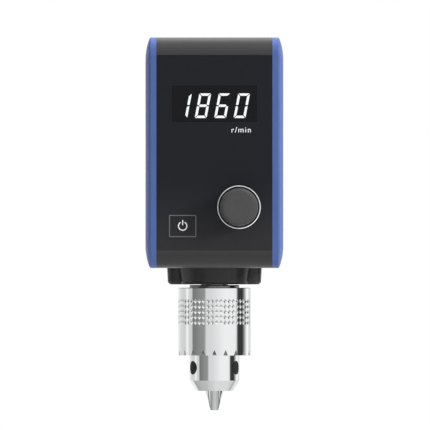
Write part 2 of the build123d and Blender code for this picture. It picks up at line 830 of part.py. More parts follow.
# Encoder: body on the board, threaded bush through the panel, nut in front
encoder_back_y = pcb_front_y
bush_front_y = front_y - bush_length
carrier_front_y = inner_front_y + encoder_wall
carrier_back_y = encoder_back_y - encoder_wall
carrier_radius = encoder_width / 2 - encoder_wall
with BuildPart() as encoder_body:
    front_block(knob_x, knob_level, encoder_width, encoder_height, inner_front_y, encoder_back_y)
    front_disc(knob_x, knob_level, bush_radius, bush_front_y, inner_front_y)
    front_disc(knob_x, knob_level, shaft_radius + slide_gap, bush_front_y, carrier_front_y, mode=Mode.SUBTRACT)
    front_disc(knob_x, knob_level, carrier_radius, carrier_front_y, carrier_back_y, mode=Mode.SUBTRACT)
save(encoder_body, "encoder_body")

with BuildPart() as encoder_nut:
    with BuildSketch(front_plane(nut_face_y)):
        with Locations((knob_x, knob_level)):
            RegularPolygon(encoder_nut_width / 2, 6, major_radius=False)
            Circle(bush_radius, mode=Mode.SUBTRACT)
    extrude(amount=-encoder_nut_height)
save(encoder_nut, "encoder_nut")

# Encoder rotor: contact carrier that turns with the shaft and lets it slide
carrier_gap = 0.2
with BuildPart() as encoder_rotor:
    front_disc(
        knob_x, knob_level, carrier_radius - carrier_gap,
        carrier_front_y + carrier_gap, carrier_back_y - carrier_gap,
    )
    with BuildSketch(front_plane(carrier_front_y)) as keyway:
        with Locations((knob_x, knob_level)):
            Circle(shaft_radius + slide_gap)
            with Locations((0, shaft_flat + slide_gap + shaft_radius)):
                Rectangle(2 * shaft_radius + cut_margin, 2 * shaft_radius, mode=Mode.SUBTRACT)
    extrude(keyway.sketch, amount=carrier_front_y - carrier_back_y, mode=Mode.SUBTRACT)
save(encoder_rotor, "encoder_rotor")

# Encoder shaft: steel, with a flat that the rotor and the knob sit on
shaft_back_y = carrier_back_y - knob_travel - carrier_gap
shaft_front_y = knob_face_y + knob_face_wall
with BuildPart() as encoder_shaft:
    with BuildSketch(front_plane(shaft_front_y)):
        with Locations((knob_x, knob_level)):
            Circle(shaft_radius)
            with Locations((0, shaft_flat + shaft_radius)):
                Rectangle(2 * shaft_radius + cut_margin, 2 * shaft_radius, mode=Mode.SUBTRACT)
    extrude(amount=shaft_front_y - shaft_back_y)
save(encoder_shaft, "encoder_shaft")

# Knob: turned cap with a slight taper and a rounded rim, hollow round the nut
nut_room = encoder_nut_width / 2 / cos(radians(30)) + run_gap
with BuildPart() as knob:
    with BuildSketch(Plane(origin=(knob_x, knob_base_y, knob_level), x_dir=(1, 0, 0), z_dir=(0, 0, 1))):
        with BuildLine():
            Polyline(
                (0, 0),
                (knob_radius, 0),
                (knob_face_radius, -knob_length),
                (0, -knob_length),
                close=True,
            )
        make_face()
    revolve(axis=Axis((knob_x, 0, knob_level), (0, 1, 0)))
    fillet(knob.edges().filter_by(GeomType.CIRCLE).group_by(Axis.Y)[0], knob_edge)
    front_disc(knob_x, knob_level, nut_room, bush_front_y - knob_travel - run_gap, knob_base_y, mode=Mode.SUBTRACT)
    with BuildSketch(front_plane(shaft_front_y)) as shaft_hole:
        with Locations((knob_x, knob_level)):
            Circle(shaft_radius)
            with Locations((0, shaft_flat + shaft_radius)):
                Rectangle(2 * shaft_radius + cut_margin, 2 * shaft_radius, mode=Mode.SUBTRACT)
    extrude(shaft_hole.sketch, amount=shaft_front_y - knob_base_y, mode=Mode.SUBTRACT)
save(knob, "knob")

# Key switch on the board
switch_front_y = pcb_front_y - switch_height
plunger_back_y = pcb_front_y - switch_base - plunger_clearance - key_travel
with BuildPart() as tact_switch_body:
    front_block(key_x, key_level, switch_width, switch_width, switch_front_y, pcb_front_y)
    front_disc(
        key_x, key_level, plunger_radius + slide_gap,
        switch_front_y, pcb_front_y - switch_base, mode=Mode.SUBTRACT,
    )
save(tact_switch_body, "tact_switch_body")

# Power key: cap flush with the panel, on a stem that meets the plunger
stem_back_y = switch_front_y - key_travel - run_gap
with BuildPart() as power_key:
    with BuildSketch(front_plane(front_y)):
        with Locations((key_x, key_level)):
            RectangleRounded(key_width, key_height, key_corner)
    extrude(amount=-overlay_thickness)
    front_disc(key_x, key_level, key_stem_radius, front_y + overlay_thickness, stem_back_y)
save(power_key, "power_key")

with BuildPart() as key_plunger:
    front_disc(key_x, key_level, plunger_radius, stem_back_y, plunger_back_y)
save(key_plunger, "key_plunger")

# Block that takes the stand rod, held by two countersunk screws from outside
spigot_front_y = block_front_y + block_web
with BuildPart() as arm_block:
    with BuildSketch(front_plane(block_front_y)):
        with Locations((0, rod_level)):
            Rectangle(block_width, block_height)
    extrude(amount=-block_depth)
    chamfer(arm_block.edges().filter_by(Axis.Y), block_edge)
    front_disc(0, rod_level, rod_spigot_radius, spigot_front_y, inner_rear_y, mode=Mode.SUBTRACT)
    for x, z in block_screw_places:
        screw_end_y = rear_y - block_screw_length
        front_disc(x, z, block_screw_radius, screw_end_y, inner_rear_y, mode=Mode.SUBTRACT)
save(arm_block, "arm_block")

with BuildPart() as arm_block_screws:
    block_head_height = block_head_radius - block_screw_radius
    with BuildSketch(front_plane(rear_y)) as heads:
        with Locations(*block_screw_places):
            Circle(block_head_radius)
    extrude(heads.sketch, amount=block_head_height, taper=45)
    for x, z in block_screw_places:
        front_disc(x, z, block_screw_radius, rear_y - block_screw_length, rear_y - block_head_height)
save(arm_block_screws, "arm_block_screws")

# Support rod: polished steel, held by the clamp of a laboratory stand
with BuildPart() as support_rod:
    front_disc(0, rod_level, rod_radius, rear_y, rear_y + rod_length)
    chamfer(support_rod.edges().group_by(Axis.Y)[-1], rod_edge)
    front_disc(0, rod_level, rod_spigot_radius, spigot_front_y + seat_gap, rear_y)
save(support_rod, "support_rod")

# Drive board under the ceiling, and its capacitors
with BuildPart() as drive_pcb:
    with BuildSketch(Plane.XY.offset(drive_pcb_bottom)):
        with Locations((0, (drive_front_y + drive_back_y) / 2)):
            Rectangle(2 * pcb_half, drive_back_y - drive_front_y)
    extrude(amount=pcb_thickness)
save(drive_pcb, "drive_pcb")

with BuildPart() as capacitors:
    with BuildSketch(Plane.XY.offset(drive_pcb_top)):
        with Locations((0, (drive_front_y + drive_back_y) / 2)):
            with GridLocations(capacitor_pitch, 1, capacitor_count, 1):
                Circle(capacitor_radius)
    extrude(amount=capacitor_height)
save(capacitors, "capacitors")

# Supply socket in the back wall: barrel with a rim, centre pin, and nut inside
with BuildPart() as dc_inlet:
    inlet_face_y = rear_y + inlet_rim
    front_disc(0, inlet_level, inlet_rim_radius, rear_y, inlet_face_y)
    chamfer(dc_inlet.edges().group_by(Axis.Y)[-1], inlet_edge)
    front_disc(0, inlet_level, inlet_barrel_radius, rear_y - inlet_barrel_length, rear_y)
    socket_foot_y = inlet_face_y - inlet_socket_depth
    front_disc(0, inlet_level, inlet_socket_radius, socket_foot_y, inlet_face_y, mode=Mode.SUBTRACT)
save(dc_inlet, "dc_inlet")

with BuildPart() as dc_inlet_pin:
    front_disc(0, inlet_level, inlet_pin_radius, socket_foot_y, inlet_face_y - inlet_pin_setback)
save(dc_inlet_pin, "dc_inlet_pin")

with BuildPart() as dc_inlet_nut:
    with BuildSketch(front_plane(inner_rear_y - inlet_nut_height)):
        with Locations((0, inlet_level)):
            RegularPolygon(inlet_nut_width / 2, 6, major_radius=False)
            Circle(inlet_barrel_radius, mode=Mode.SUBTRACT)
    extrude(amount=-inlet_nut_height)
save(dc_inlet_nut, "dc_inlet_nut")

# Travel of the jaws along their bores, from rest
open_travel = (largest_opening - rest_opening) / 2 / sin(radians(jaw_angle))
close_travel = (rest_opening - smallest_opening) / 2 / sin(radians(jaw_angle))
print("jaw travel: close", round(close_travel, 3), "open", round(open_travel, 3))
print("levels: neck", neck_bottom, "housing", housing_bottom, housing_top, "rod", rod_level)
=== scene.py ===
from math import cos, pi, radians, sin, tan

import bmesh
import bpy
from mathutils import Matrix, Vector


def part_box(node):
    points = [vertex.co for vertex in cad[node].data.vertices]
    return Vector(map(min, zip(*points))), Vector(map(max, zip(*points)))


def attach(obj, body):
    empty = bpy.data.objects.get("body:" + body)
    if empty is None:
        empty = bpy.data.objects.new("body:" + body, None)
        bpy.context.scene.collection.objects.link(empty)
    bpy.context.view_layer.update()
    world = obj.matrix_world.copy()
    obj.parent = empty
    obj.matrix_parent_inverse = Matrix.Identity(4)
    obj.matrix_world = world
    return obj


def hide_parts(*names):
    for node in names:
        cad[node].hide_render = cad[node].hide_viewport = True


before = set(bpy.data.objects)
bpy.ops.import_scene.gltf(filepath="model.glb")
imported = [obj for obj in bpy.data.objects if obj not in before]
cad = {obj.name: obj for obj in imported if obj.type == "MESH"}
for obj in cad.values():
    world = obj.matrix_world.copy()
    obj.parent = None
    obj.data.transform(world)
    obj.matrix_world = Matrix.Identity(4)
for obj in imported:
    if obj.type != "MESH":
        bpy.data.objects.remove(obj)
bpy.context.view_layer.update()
mm = 0.001


# Main housing: one black tube with rounded front and back edges, open at both sides.
# Injection moulded ABS with a fine spark-eroded texture; every other piece is fixed to it.
def wire(tree, kind, inputs=None, **settings):
    """Adds a node to a tree. An input given as a socket is linked, any other is set."""
    node = tree.nodes.new(kind)
    for name, value in settings.items():
        setattr(node, name, value)
    for name, value in (inputs or {}).items():
        if isinstance(value, bpy.types.NodeSocket):
            tree.links.new(value, node.inputs[name])
        else:
            node.inputs[name].default_value = value
    return node


def calculate(tree, operation, first, second=0.0, third=0.0):
    """One step of arithmetic on plain values or sockets."""
    return wire(tree, "ShaderNodeMath", {0: first, 1: second, 2: third}, operation=operation).outputs[0]


def remap(tree, value, start, stop, low=0.0, high=1.0, **settings):
    """Brings a value from the range start to stop into the range low to high, and holds it there."""
    ends = {"Value": value, "From Min": start, "From Max": stop, "To Min": low, "To Max": high}
    return wire(tree, "ShaderNodeMapRange", ends, **settings).outputs[0]


def object_place(tree):
    """The place on a piece, in the piece's own coordinates."""
    return wire(tree, "ShaderNodeTexCoord").outputs["Object"]


def open_group(name, inputs, outputs):
    """Starts a shader node group; returns its tree, the sockets of its inputs, and its end node."""
    tree = bpy.data.node_groups.new(name, "ShaderNodeTree")
    for label, value in inputs.items():
        kind = "NodeSocketVector" if isinstance(value, tuple) else "NodeSocketFloat"
        socket = tree.interface.new_socket(name=label, in_out="INPUT", socket_type=kind)
        socket.default_value = value
    for label, kind in outputs.items():
        tree.interface.new_socket(name=label, in_out="OUTPUT", socket_type=kind)
    return tree, tree.nodes.new("NodeGroupInput").outputs, tree.nodes.new("NodeGroupOutput")


def close_group(tree, end, results):
    """Links the results of a group to its end, and returns its tree."""
    for label, socket in results.items():
        tree.links.new(socket, end.inputs[label])
    return tree


clouds_per_metre = 45.0
wear_breaks_per_metre = 260.0


def make_moulded_grain():
    """The fine matt texture of a moulding tool, and slow clouds of slightly other gloss."""
    tree, given, end = open_group(
        "moulded_grain",
        {"Grain Size": 0.3 * mm, "Grain Depth": 0.01 * mm},
        {"Normal": "NodeSocketVector", "Cloud": "NodeSocketFloat"},
    )
    place = object_place(tree)
    density = calculate(tree, "DIVIDE", 1.0, given["Grain Size"])
    grain = wire(tree, "ShaderNodeTexNoise", {"Vector": place, "Scale": density, "Detail": 2.0})
    bump = wire(tree, "ShaderNodeBump", {"Height": grain.outputs["Fac"], "Distance": given["Grain Depth"]})
    cloud = wire(tree, "ShaderNodeTexNoise", {"Vector": place, "Scale": clouds_per_metre, "Detail": 3.0})
    return close_group(tree, end, {"Normal": bump.outputs["Normal"], "Cloud": cloud.outputs["Fac"]})


def make_edge_wear():
    """A mask of the edges that hands and cloths rub, broken up by noise."""
    tree, given, end = open_group(
        "edge_wear", {"Width": 0.4 * mm, "Amount": 0.5}, {"Wear": "NodeSocketFloat"}
    )
    rounded = wire(tree, "ShaderNodeBevel", {"Radius": given["Width"]}, samples=4).outputs["Normal"]
    true_normal = wire(tree, "ShaderNodeNewGeometry").outputs["Normal"]
    match = wire(tree, "ShaderNodeVectorMath", {0: rounded, 1: true_normal}, operation="DOT_PRODUCT")
    edge = remap(tree, match.outputs["Value"], 0.99, 0.8)
    place = object_place(tree)
    breaks = wire(
        tree, "ShaderNodeTexNoise", {"Vector": place, "Scale": wear_breaks_per_metre, "Detail": 4.0}
    ).outputs["Fac"]
    patchy = remap(tree, breaks, 0.35, 0.65, 0.2, 1.0)
    rubbed = calculate(tree, "MULTIPLY", edge, patchy)
    wear = calculate(tree, "MULTIPLY", rubbed, given["Amount"])
    return close_group(tree, end, {"Wear": wear})


moulded_grain = make_moulded_grain()
edge_wear = make_edge_wear()


def open_material(name, roughness, **shader_values):
    """A material whose Principled shader takes plain values for what is the same all over."""
    material = bpy.data.materials.new(name)
    material.use_nodes = True
    shader = material.node_tree.nodes["Principled BSDF"]
    shader.inputs["Roughness"].default_value = roughness
    for label, value in shader_values.items():
        shader.inputs[label.replace("_", " ")].default_value = value
    return material, material.node_tree, shader


def use_group(tree, group, **values):
    """Places a node group in a material with its own values; returns its outputs."""
    named = {label.replace("_", " "): value for label, value in values.items()}
    return wire(tree, "ShaderNodeGroup", named, node_tree=group).outputs


def blend_colour(tree, mask, first, second):
    """Mixes two colours, each a plain one or a socket, by a mask."""
    ends = [part if isinstance(part, bpy.types.NodeSocket) else (*part, 1.0) for part in (first, second)]
    mix = wire(tree, "ShaderNodeMix", {0: mask, 6: ends[0], 7: ends[1]}, data_type="RGBA")
    return mix.outputs[2]


cloud_contrast = 0.06
gloss_spread = 0.05
rub_gain = 1.35
rub_lift = 0.012


def moulded_plastic(name, colour, roughness, specular, grain_size, grain_depth, wear=0.3):
    """Plastic or paint with a fine grain, clouds of tone and gloss, and paler rubbed edges."""
    material, tree, shader = open_material(name, roughness, Specular_IOR_Level=specular)
    grain = use_group(tree, moulded_grain, Grain_Size=grain_size, Grain_Depth=grain_depth)
    worn = use_group(tree, edge_wear, Width=0.35 * mm, Amount=wear)
    darker = tuple((1 - cloud_contrast) * part for part in colour)
    lighter = tuple((1 + cloud_contrast) * part for part in colour)
    rubbed = tuple(min(1.0, rub_gain * part + rub_lift) for part in colour)
    clouded = blend_colour(tree, grain["Cloud"], darker, lighter)
    paint = blend_colour(tree, worn["Wear"], clouded, rubbed)
    gloss = remap(tree, grain["Cloud"], 0.0, 1.0, roughness - gloss_spread, roughness + gloss_spread)
    tree.links.new(paint, shader.inputs["Base Color"])
    tree.links.new(gloss, shader.inputs["Roughness"])
    tree.links.new(grain["Normal"], shader.inputs["Normal"])
    return material


def finish_nodes(material, *names):
    """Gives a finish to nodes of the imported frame."""
    for name in names:
        cad[name].material_slots[0].material = material


black_shell = moulded_plastic(
    "black_shell",
    (0.0222, 0.0222, 0.0234),
    roughness=0.34,
    specular=0.46,
    grain_size=0.28 * mm,
    grain_depth=0.002 * mm,
)
finish_nodes(black_shell, "main_housing")


# Side covers: crowned blue shells that close the tube, held by snap tongues.
# Injection moulded ABS with a smoother, silkier tool surface than the tube.
blue_shell = moulded_plastic(
    "blue_shell",
    (0.068, 0.11, 0.288),
    roughness=0.42,
    specular=0.12,
    grain_size=0.4 * mm,
    grain_depth=0.003 * mm,
)
finish_nodes(blue_shell, "left_side_cover", "right_side_cover")


# Neck flange and shaft seal: the round boss with two ears under the housing, die cast and powder
# coated black, with a nitrile lip seal pressed into it.
neck_coat = moulded_plastic(
    "neck_powder_coat",
    (0.0272, 0.0272, 0.0277),
    roughness=0.21,
    specular=0.24,
    grain_size=0.5 * mm,
    grain_depth=0.003 * mm,
)
finish_nodes(neck_coat, "neck_flange")
seal_rubber = moulded_plastic(
    "seal_rubber",
    (0.012, 0.012, 0.012),
    roughness=0.62,
    specular=0.3,
    grain_size=0.2 * mm,
    grain_depth=0.004 * mm,
)
finish_nodes(seal_rubber, "shaft_seal")


# Motor: flange, can and end bell round a laminated stator with enamelled coils, and a rotor with
# four magnets on the spindle between two sealed ball bearings. Turned, drawn and stacked steel.
def axis_distance(tree, parts):
    """How far a place is from the Z axis, from its three coordinates."""
    across = wire(tree, "ShaderNodeCombineXYZ", {0: parts["X"], 1: parts["Y"]}).outputs[0]
    return wire(tree, "ShaderNodeVectorMath", {0: across}, operation="LENGTH").outputs["Value"]


def make_turning_lines():
    """Fine rings left by a lathe: they change with height on a barrel and with radius on an end."""
    tree, given, end = open_group(
        "turning_lines",
        {"Vector": (0.0, 0.0, 0.0), "Pitch": 0.2 * mm, "Depth": 0.002 * mm},
        {"Normal": "NodeSocketVector", "Streak": "NodeSocketFloat"},
    )
    parts = wire(tree, "ShaderNodeSeparateXYZ", {0: given["Vector"]}).outputs
    path = calculate(tree, "ADD", axis_distance(tree, parts), parts["Z"])
    turns = calculate(tree, "DIVIDE", path, given["Pitch"])
    rings = wire(
        tree, "ShaderNodeTexNoise", {"W": turns, "Scale": 1.0, "Detail": 2.0}, noise_dimensions="1D"
    ).outputs["Fac"]
    bands = wire(
        tree, "ShaderNodeTexNoise", {"W": turns, "Scale": 0.11, "Detail": 1.0}, noise_dimensions="1D"
    ).outputs["Fac"]
    bump = wire(tree, "ShaderNodeBump", {"Height": rings, "Distance": given["Depth"]}).outputs["Normal"]
    return close_group(tree, end, {"Normal": bump, "Streak": bands})


turning_lines = make_turning_lines()
streak_gloss = 0.2
upright = (0.0, 0.0, 0.0)
front_to_back = (radians(90), 0.0, 0.0)


def turned_metal(
    name, colour, roughness, pitch, depth, axis_point=(0.0, 0.0, 0.0), turn=upright, contrast=0.06
):
    """Machined metal with tool marks round an axis through a point."""
    material, tree, shader = open_material(name, roughness, Metallic=1.0)
    place = object_place(tree)
    moved = wire(tree, "ShaderNodeVectorMath", {0: place, 1: axis_point}, operation="SUBTRACT").outputs[0]
    turned = wire(tree, "ShaderNodeMapping", {"Vector": moved, "Rotation": turn}).outputs[0]
    lines = use_group(tree, turning_lines, Vector=turned, Pitch=pitch, Depth=depth)
    darker = tuple((1 - contrast) * part for part in colour)
    lighter = tuple(min(1.0, (1 + contrast) * part) for part in colour)
    low, high = (1 - streak_gloss) * roughness, (1 + streak_gloss) * roughness
    gloss = remap(tree, lines["Streak"], 0.0, 1.0, low, high)
    tree.links.new(blend_colour(tree, lines["Streak"], darker, lighter), shader.inputs["Base Color"])
    tree.links.new(gloss, shader.inputs["Roughness"])
    tree.links.new(lines["Normal"], shader.inputs["Normal"])
    return material


bearing_steel = turned_metal(
    "bearing_steel", (0.6, 0.61, 0.62), roughness=0.22, pitch=0.15 * mm, depth=0.0006 * mm
)
finish_nodes(bearing_steel, "lower_bearing_outer", "lower_bearing_inner")
finish_nodes(bearing_steel, "upper_bearing_outer", "upper_bearing_inner")
cast_aluminium = turned_metal(
    "cast_aluminium", (0.78, 0.79, 0.8), roughness=0.38, pitch=0.4 * mm, depth=0.003 * mm
)
finish_nodes(cast_aluminium, "motor_flange", "motor_end_bell")
zinc_plate = turned_metal(
    "zinc_plated_steel", (0.5, 0.5, 0.51), roughness=0.34, pitch=0.3 * mm, depth=0.002 * mm
)
finish_nodes(zinc_plate, "motor_can")
laminations = turned_metal(
    "laminations", (0.3, 0.3, 0.31), roughness=0.45, pitch=0.5 * mm, depth=0.02 * mm, contrast=0.3
)
finish_nodes(laminations, "stator_core", "rotor_core")
enamelled_wire = turned_metal(
    "enamelled_wire", (0.62, 0.27, 0.1), roughness=0.3, pitch=0.35 * mm, depth=0.04 * mm, contrast=0.25
)
finish_nodes(enamelled_wire, "stator_windings")
coated_magnet = turned_metal(
    "coated_magnet", (0.12, 0.12, 0.13), roughness=0.4, pitch=0.6 * mm, depth=0.002 * mm
)
finish_nodes(coated_magnet, "rotor_magnets")
ground_steel = turned_metal(
    "ground_steel", (0.42, 0.42, 0.42), roughness=0.25, pitch=0.12 * mm, depth=0.0008 * mm
)
finish_nodes(ground_steel, "spindle_shaft", "circlip")


# Boards: glass-fibre boards with green solder mask over their tracks, two electrolytic capacitors,
# the switch under the key and the encoder under the knob.
weave_per_metre = 420.0
tracks_per_metre = 320.0


def make_solder_mask():
    """Green mask with the weave of the board under it, and tracks a little lighter."""
    material, tree, shader = open_material("solder_mask", 0.35, Specular_IOR_Level=0.5)
    place = object_place(tree)
    weave = wire(
        tree,
        "ShaderNodeTexBrick",
        {
            "Vector": place,
            "Scale": weave_per_metre,
            "Mortar Size": 0.012,
            "Color1": (1.0, 1.0, 1.0, 1.0),
            "Color2": (0.0, 0.0, 0.0, 1.0),
        },
    ).outputs["Color"]
    cells = wire(
        tree, "ShaderNodeTexVoronoi", {"Vector": place, "Scale": tracks_per_metre}, distance="MANHATTAN"
    ).outputs["Distance"]
    tracks = remap(tree, cells, 0.35, 0.45)
    green = blend_colour(tree, tracks, (0.02, 0.12, 0.05), (0.03, 0.19, 0.08))
    bump = wire(tree, "ShaderNodeBump", {"Height": weave, "Distance": 0.004 * mm}).outputs["Normal"]
    tree.links.new(green, shader.inputs["Base Color"])
    tree.links.new(bump, shader.inputs["Normal"])
    return material


finish_nodes(make_solder_mask(), "front_pcb", "drive_pcb")
capacitor_can = turned_metal(
    "capacitor_can", (0.6, 0.6, 0.62), roughness=0.3, pitch=0.3 * mm, depth=0.001 * mm
)
finish_nodes(capacitor_can, "capacitors")
black_plastic = moulded_plastic(
    "black_plastic",
    (0.03, 0.03, 0.03),
    roughness=0.45,
    specular=0.4,
    grain_size=0.2 * mm,
    grain_depth=0.003 * mm,
)
finish_nodes(black_plastic, "tact_switch_body", "encoder_rotor")
plain_steel = turned_metal(
    "nickel_plated_steel", (0.55, 0.56, 0.57), roughness=0.21, pitch=0.2 * mm, depth=0.001 * mm
)
finish_nodes(plain_steel, "encoder_body", "encoder_nut", "encoder_shaft")


# Display window: smoked acrylic lens, stepped so that its face is flush with the panel, and a
# display module behind it. The lit bars of its leaning figures are laid on the lens, as they show.
lens_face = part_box("display_window")[0].y
panel_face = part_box("front_overlay")[0].y
print_height = 0.02 * mm


def make_handling_haze():
    """Where fingers and cloths have left a thin haze on a polished face."""
    tree, given, end = open_group(
        "handling_haze", {"Size": 20.0 * mm, "Amount": 0.1}, {"Haze": "NodeSocketFloat"}
    )
    place = object_place(tree)
    density = calculate(tree, "DIVIDE", 1.0, given["Size"])
    smears = wire(
        tree, "ShaderNodeTexNoise", {"Vector": place, "Scale": density, "Detail": 4.0, "Distortion": 0.6}
    ).outputs["Fac"]
    return close_group(tree, end, {"Haze": remap(tree, smears, 0.35, 0.75, 0.0, given["Amount"])})


handling_haze = make_handling_haze()


def hazed_gloss(tree, roughness, size, amount):
    """The mask of a haze, and the roughness of the polished face under it."""
    haze = use_group(tree, handling_haze, Size=size, Amount=amount)["Haze"]
    return haze, calculate(tree, "ADD", haze, roughness)


def smoked_lens():
    """Nearly black polished acrylic with a thin haze."""
    roughness = 0.08
    material, tree, shader = open_material("smoked_lens", roughness, Specular_IOR_Level=0.12)
    haze, gloss = hazed_gloss(tree, roughness, 12.0 * mm, 0.12)
    smoke = blend_colour(tree, haze, (0.0053, 0.0053, 0.0062), (0.0072, 0.0072, 0.008))
    tree.links.new(smoke, shader.inputs["Base Color"])
    tree.links.new(gloss, shader.inputs["Roughness"])
    return material


finish_nodes(smoked_lens(), "display_window")
finish_nodes(black_plastic, "display_module")

figure_width = 5.15 * mm
figure_height = 10.7 * mm
figure_pitch = 8.44 * mm
figure_lean = 0.19
figure_left = -17.0 * mm
figure_foot = 127.5 * mm
segment_thickness = 1.03 * mm
segment_gap = 0.24 * mm
segments_of = {"1": "bc", "8": "abcdefg", "6": "acdefg", "0": "abcdef"}


def segment_outlines():
    """The outlines of the seven segments of an upright figure, from its lower left corner."""
    w, h, t, g = figure_width, figure_height, segment_thickness, segment_gap
    middle = h / 2
    top = [(g, h), (w - g, h), (w - t - g, h - t), (t + g, h - t)]
    upper_right = [
        (w, h - g), (w, middle + t / 3), (w - t / 2, middle + g),
        (w - t, middle + t / 2), (w - t, h - t - g),
    ]
    lower_right = [(x, h - z) for x, z in upper_right]
    centre = [
        (t / 2 + g, middle), (t + g, middle + t / 2), (w - t - g, middle + t / 2),
        (w - t / 2 - g, middle), (w - t - g, middle - t / 2), (t + g, middle - t / 2),
    ]
    return {
        "a": top,
        "b": upper_right,
        "c": lower_right,
        "d": [(x, h - z) for x, z in top],
        "e": [(w - x, z) for x, z in lower_right],
        "f": [(w - x, z) for x, z in upper_right],
        "g": centre,
    }


def raise_plate(shape, outline, face_y):
    """Adds a thin plate in front of a face, from the corners of its outline in X and Z."""
    back = [shape.verts.new((x, face_y, z)) for x, z in outline]
    front = [shape.verts.new((x, face_y - print_height, z)) for x, z in outline]
    shape.faces.new(front)
    shape.faces.new(list(reversed(back)))
    for i in range(len(outline)):
        j = (i + 1) % len(outline)
        shape.faces.new((back[i], back[j], front[j], front[i]))


def raise_line(shape, outer, inner, face_y, closed):
    """Adds a thin raised line between two edges, either round to its start or with two ends."""
    raised_y = face_y - print_height
    sections = []
    for (outer_x, outer_z), (inner_x, inner_z) in zip(outer, inner):
        corners = (
            (outer_x, face_y, outer_z), (outer_x, raised_y, outer_z),
            (inner_x, raised_y, inner_z), (inner_x, face_y, inner_z),
        )
        sections.append([shape.verts.new(corner) for corner in corners])
    following = sections[1:] + sections[:1] if closed else sections[1:]
    for section, ahead in zip(sections, following):
        for i in range(4):
            j = (i + 1) % 4
            shape.faces.new((section[i], section[j], ahead[j], ahead[i]))
    if not closed:
        shape.faces.new(sections[0])
        shape.faces.new(sections[-1])


def keep_shape(name, shape):
    """Makes a plain mesh of a shape under construction."""
    mesh = bpy.data.meshes.new(name)
    shape.to_mesh(mesh)
    shape.free()
    return mesh


def put_in_scene(name, data):
    """Adds an object with its mesh, curve, lamp or camera to the scene."""
    piece = bpy.data.objects.new(name, data)
    bpy.context.scene.collection.objects.link(piece)
    return piece


def finish_sign(name, shape, ink, body):
    """Makes a sign of a shape, in an ink, that moves with a body."""
    bmesh.ops.recalc_face_normals(shape, faces=shape.faces)
    mesh = keep_shape(name, shape)
    mesh.materials.append(ink)
    sign = put_in_scene(name, mesh)
    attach(sign, body)


def print_ink(name, colour):
    """Screen printing ink, a little thinner in patches."""
    material, tree, shader = open_material(name, 0.5, Specular_IOR_Level=0.3)
    grain = use_group(tree, moulded_grain, Grain_Size=0.15 * mm, Grain_Depth=0.001 * mm)
    thinner = tuple(0.93 * part for part in colour)
    tree.links.new(blend_colour(tree, grain["Cloud"], thinner, colour), shader.inputs["Base Color"])
    return material


def lit_diffuser():
    """The milky bars over the light sources: nearly even, a little weaker in patches."""
    material, tree, shader = open_material("lit_diffuser", 0.6, Emission_Strength=1.0)
    shader.inputs["Base Color"].default_value = (0.03, 0.03, 0.03, 1.0)
    cloud = use_group(tree, moulded_grain, Grain_Size=0.4 * mm, Grain_Depth=0.001 * mm)["Cloud"]
    light = blend_colour(tree, cloud, (0.9, 0.93, 0.95), (0.97, 0.99, 1.0))
    tree.links.new(light, shader.inputs["Emission Color"])
    return material


figures = bmesh.new()
outlines = segment_outlines()
for column, figure in enumerate("1860"):
    left = figure_left + column * figure_pitch
    for letter in segments_of[figure]:
        leaning = [(left + x + figure_lean * z, figure_foot + z) for x, z in outlines[letter]]
        raise_plate(figures, leaning, lens_face)
finish_sign("display_figures", figures, lit_diffuser(), "housing")


# Front panel: a flat film-faced plate let into the housing, with its signs screen printed on it: a
# ring round the knob and the unit under the display.
shading_foot = 70.0 * mm
shading_top = 104.0 * mm


def painted_shading_film(name, roughness):
    """Film printed near black, with painted shading: lighter towards the foot of the panel, darker towards
    the top.
    """
    material, tree, shader = open_material(name, roughness, Specular_IOR_Level=0.15)
    grain = use_group(tree, moulded_grain, Grain_Size=0.12 * mm, Grain_Depth=0.0012 * mm)
    height = wire(tree, "ShaderNodeSeparateXYZ", {0: object_place(tree)}).outputs["Z"]
    # Painted shading: the film is painted lighter towards the foot of the panel and darker towards the top.
    rise = remap(tree, height, shading_foot, shading_top, interpolation_type="SMOOTHSTEP")
    graded = blend_colour(tree, rise, (0.0218, 0.0218, 0.0249), (0.0083, 0.0098, 0.0125))
    worn = use_group(tree, edge_wear, Width=0.3 * mm, Amount=0.25)
    film = blend_colour(tree, worn["Wear"], graded, (0.05, 0.05, 0.055))
    gloss = remap(tree, grain["Cloud"], 0.0, 1.0, roughness - gloss_spread, roughness + gloss_spread)
    tree.links.new(film, shader.inputs["Base Color"])
    tree.links.new(gloss, shader.inputs["Roughness"])
    tree.links.new(grain["Normal"], shader.inputs["Normal"])
    return material


finish_nodes(painted_shading_film("panel_film", 0.45), "front_overlay")
light_ink = print_ink("light_grey_ink", (0.87, 0.88, 0.89))
knob_low, knob_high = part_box("knob")
knob_x = (knob_low.x + knob_high.x) / 2
knob_z = (knob_low.z + knob_high.z) / 2
knob_ring_radius = 9.24 * mm
knob_ring_width = 0.34 * mm
unit_size = 3.45 * mm
unit_spacing = 1.2
unit_right = 16.07 * mm
unit_foot = 121.2 * mm


def arc_points(x, z, radius, start, end, steps):
    """Points round a centre, in degrees from the right."""
    turns = [radians(start + (end - start) * i / steps) for i in range(steps + 1)]
    return [(x + radius * cos(turn), z + radius * sin(turn)) for turn in turns]


once_round = (0, 357, 119)
knob_ring = bmesh.new()
raise_line(
    knob_ring,
    arc_points(knob_x, knob_z, knob_ring_radius + knob_ring_width / 2, *once_round),
    arc_points(knob_x, knob_z, knob_ring_radius - knob_ring_width / 2, *once_round),
    panel_face,
    closed=True,
)
finish_sign("knob_ring", knob_ring, light_ink, "housing")


def make_plain(source):
    """The finished mesh of a source object, which is then thrown away."""
    bpy.context.view_layer.update()
    finished = source.evaluated_get(bpy.context.evaluated_depsgraph_get())
    mesh = bpy.data.meshes.new_from_object(finished)
    bpy.data.objects.remove(source)
    return mesh


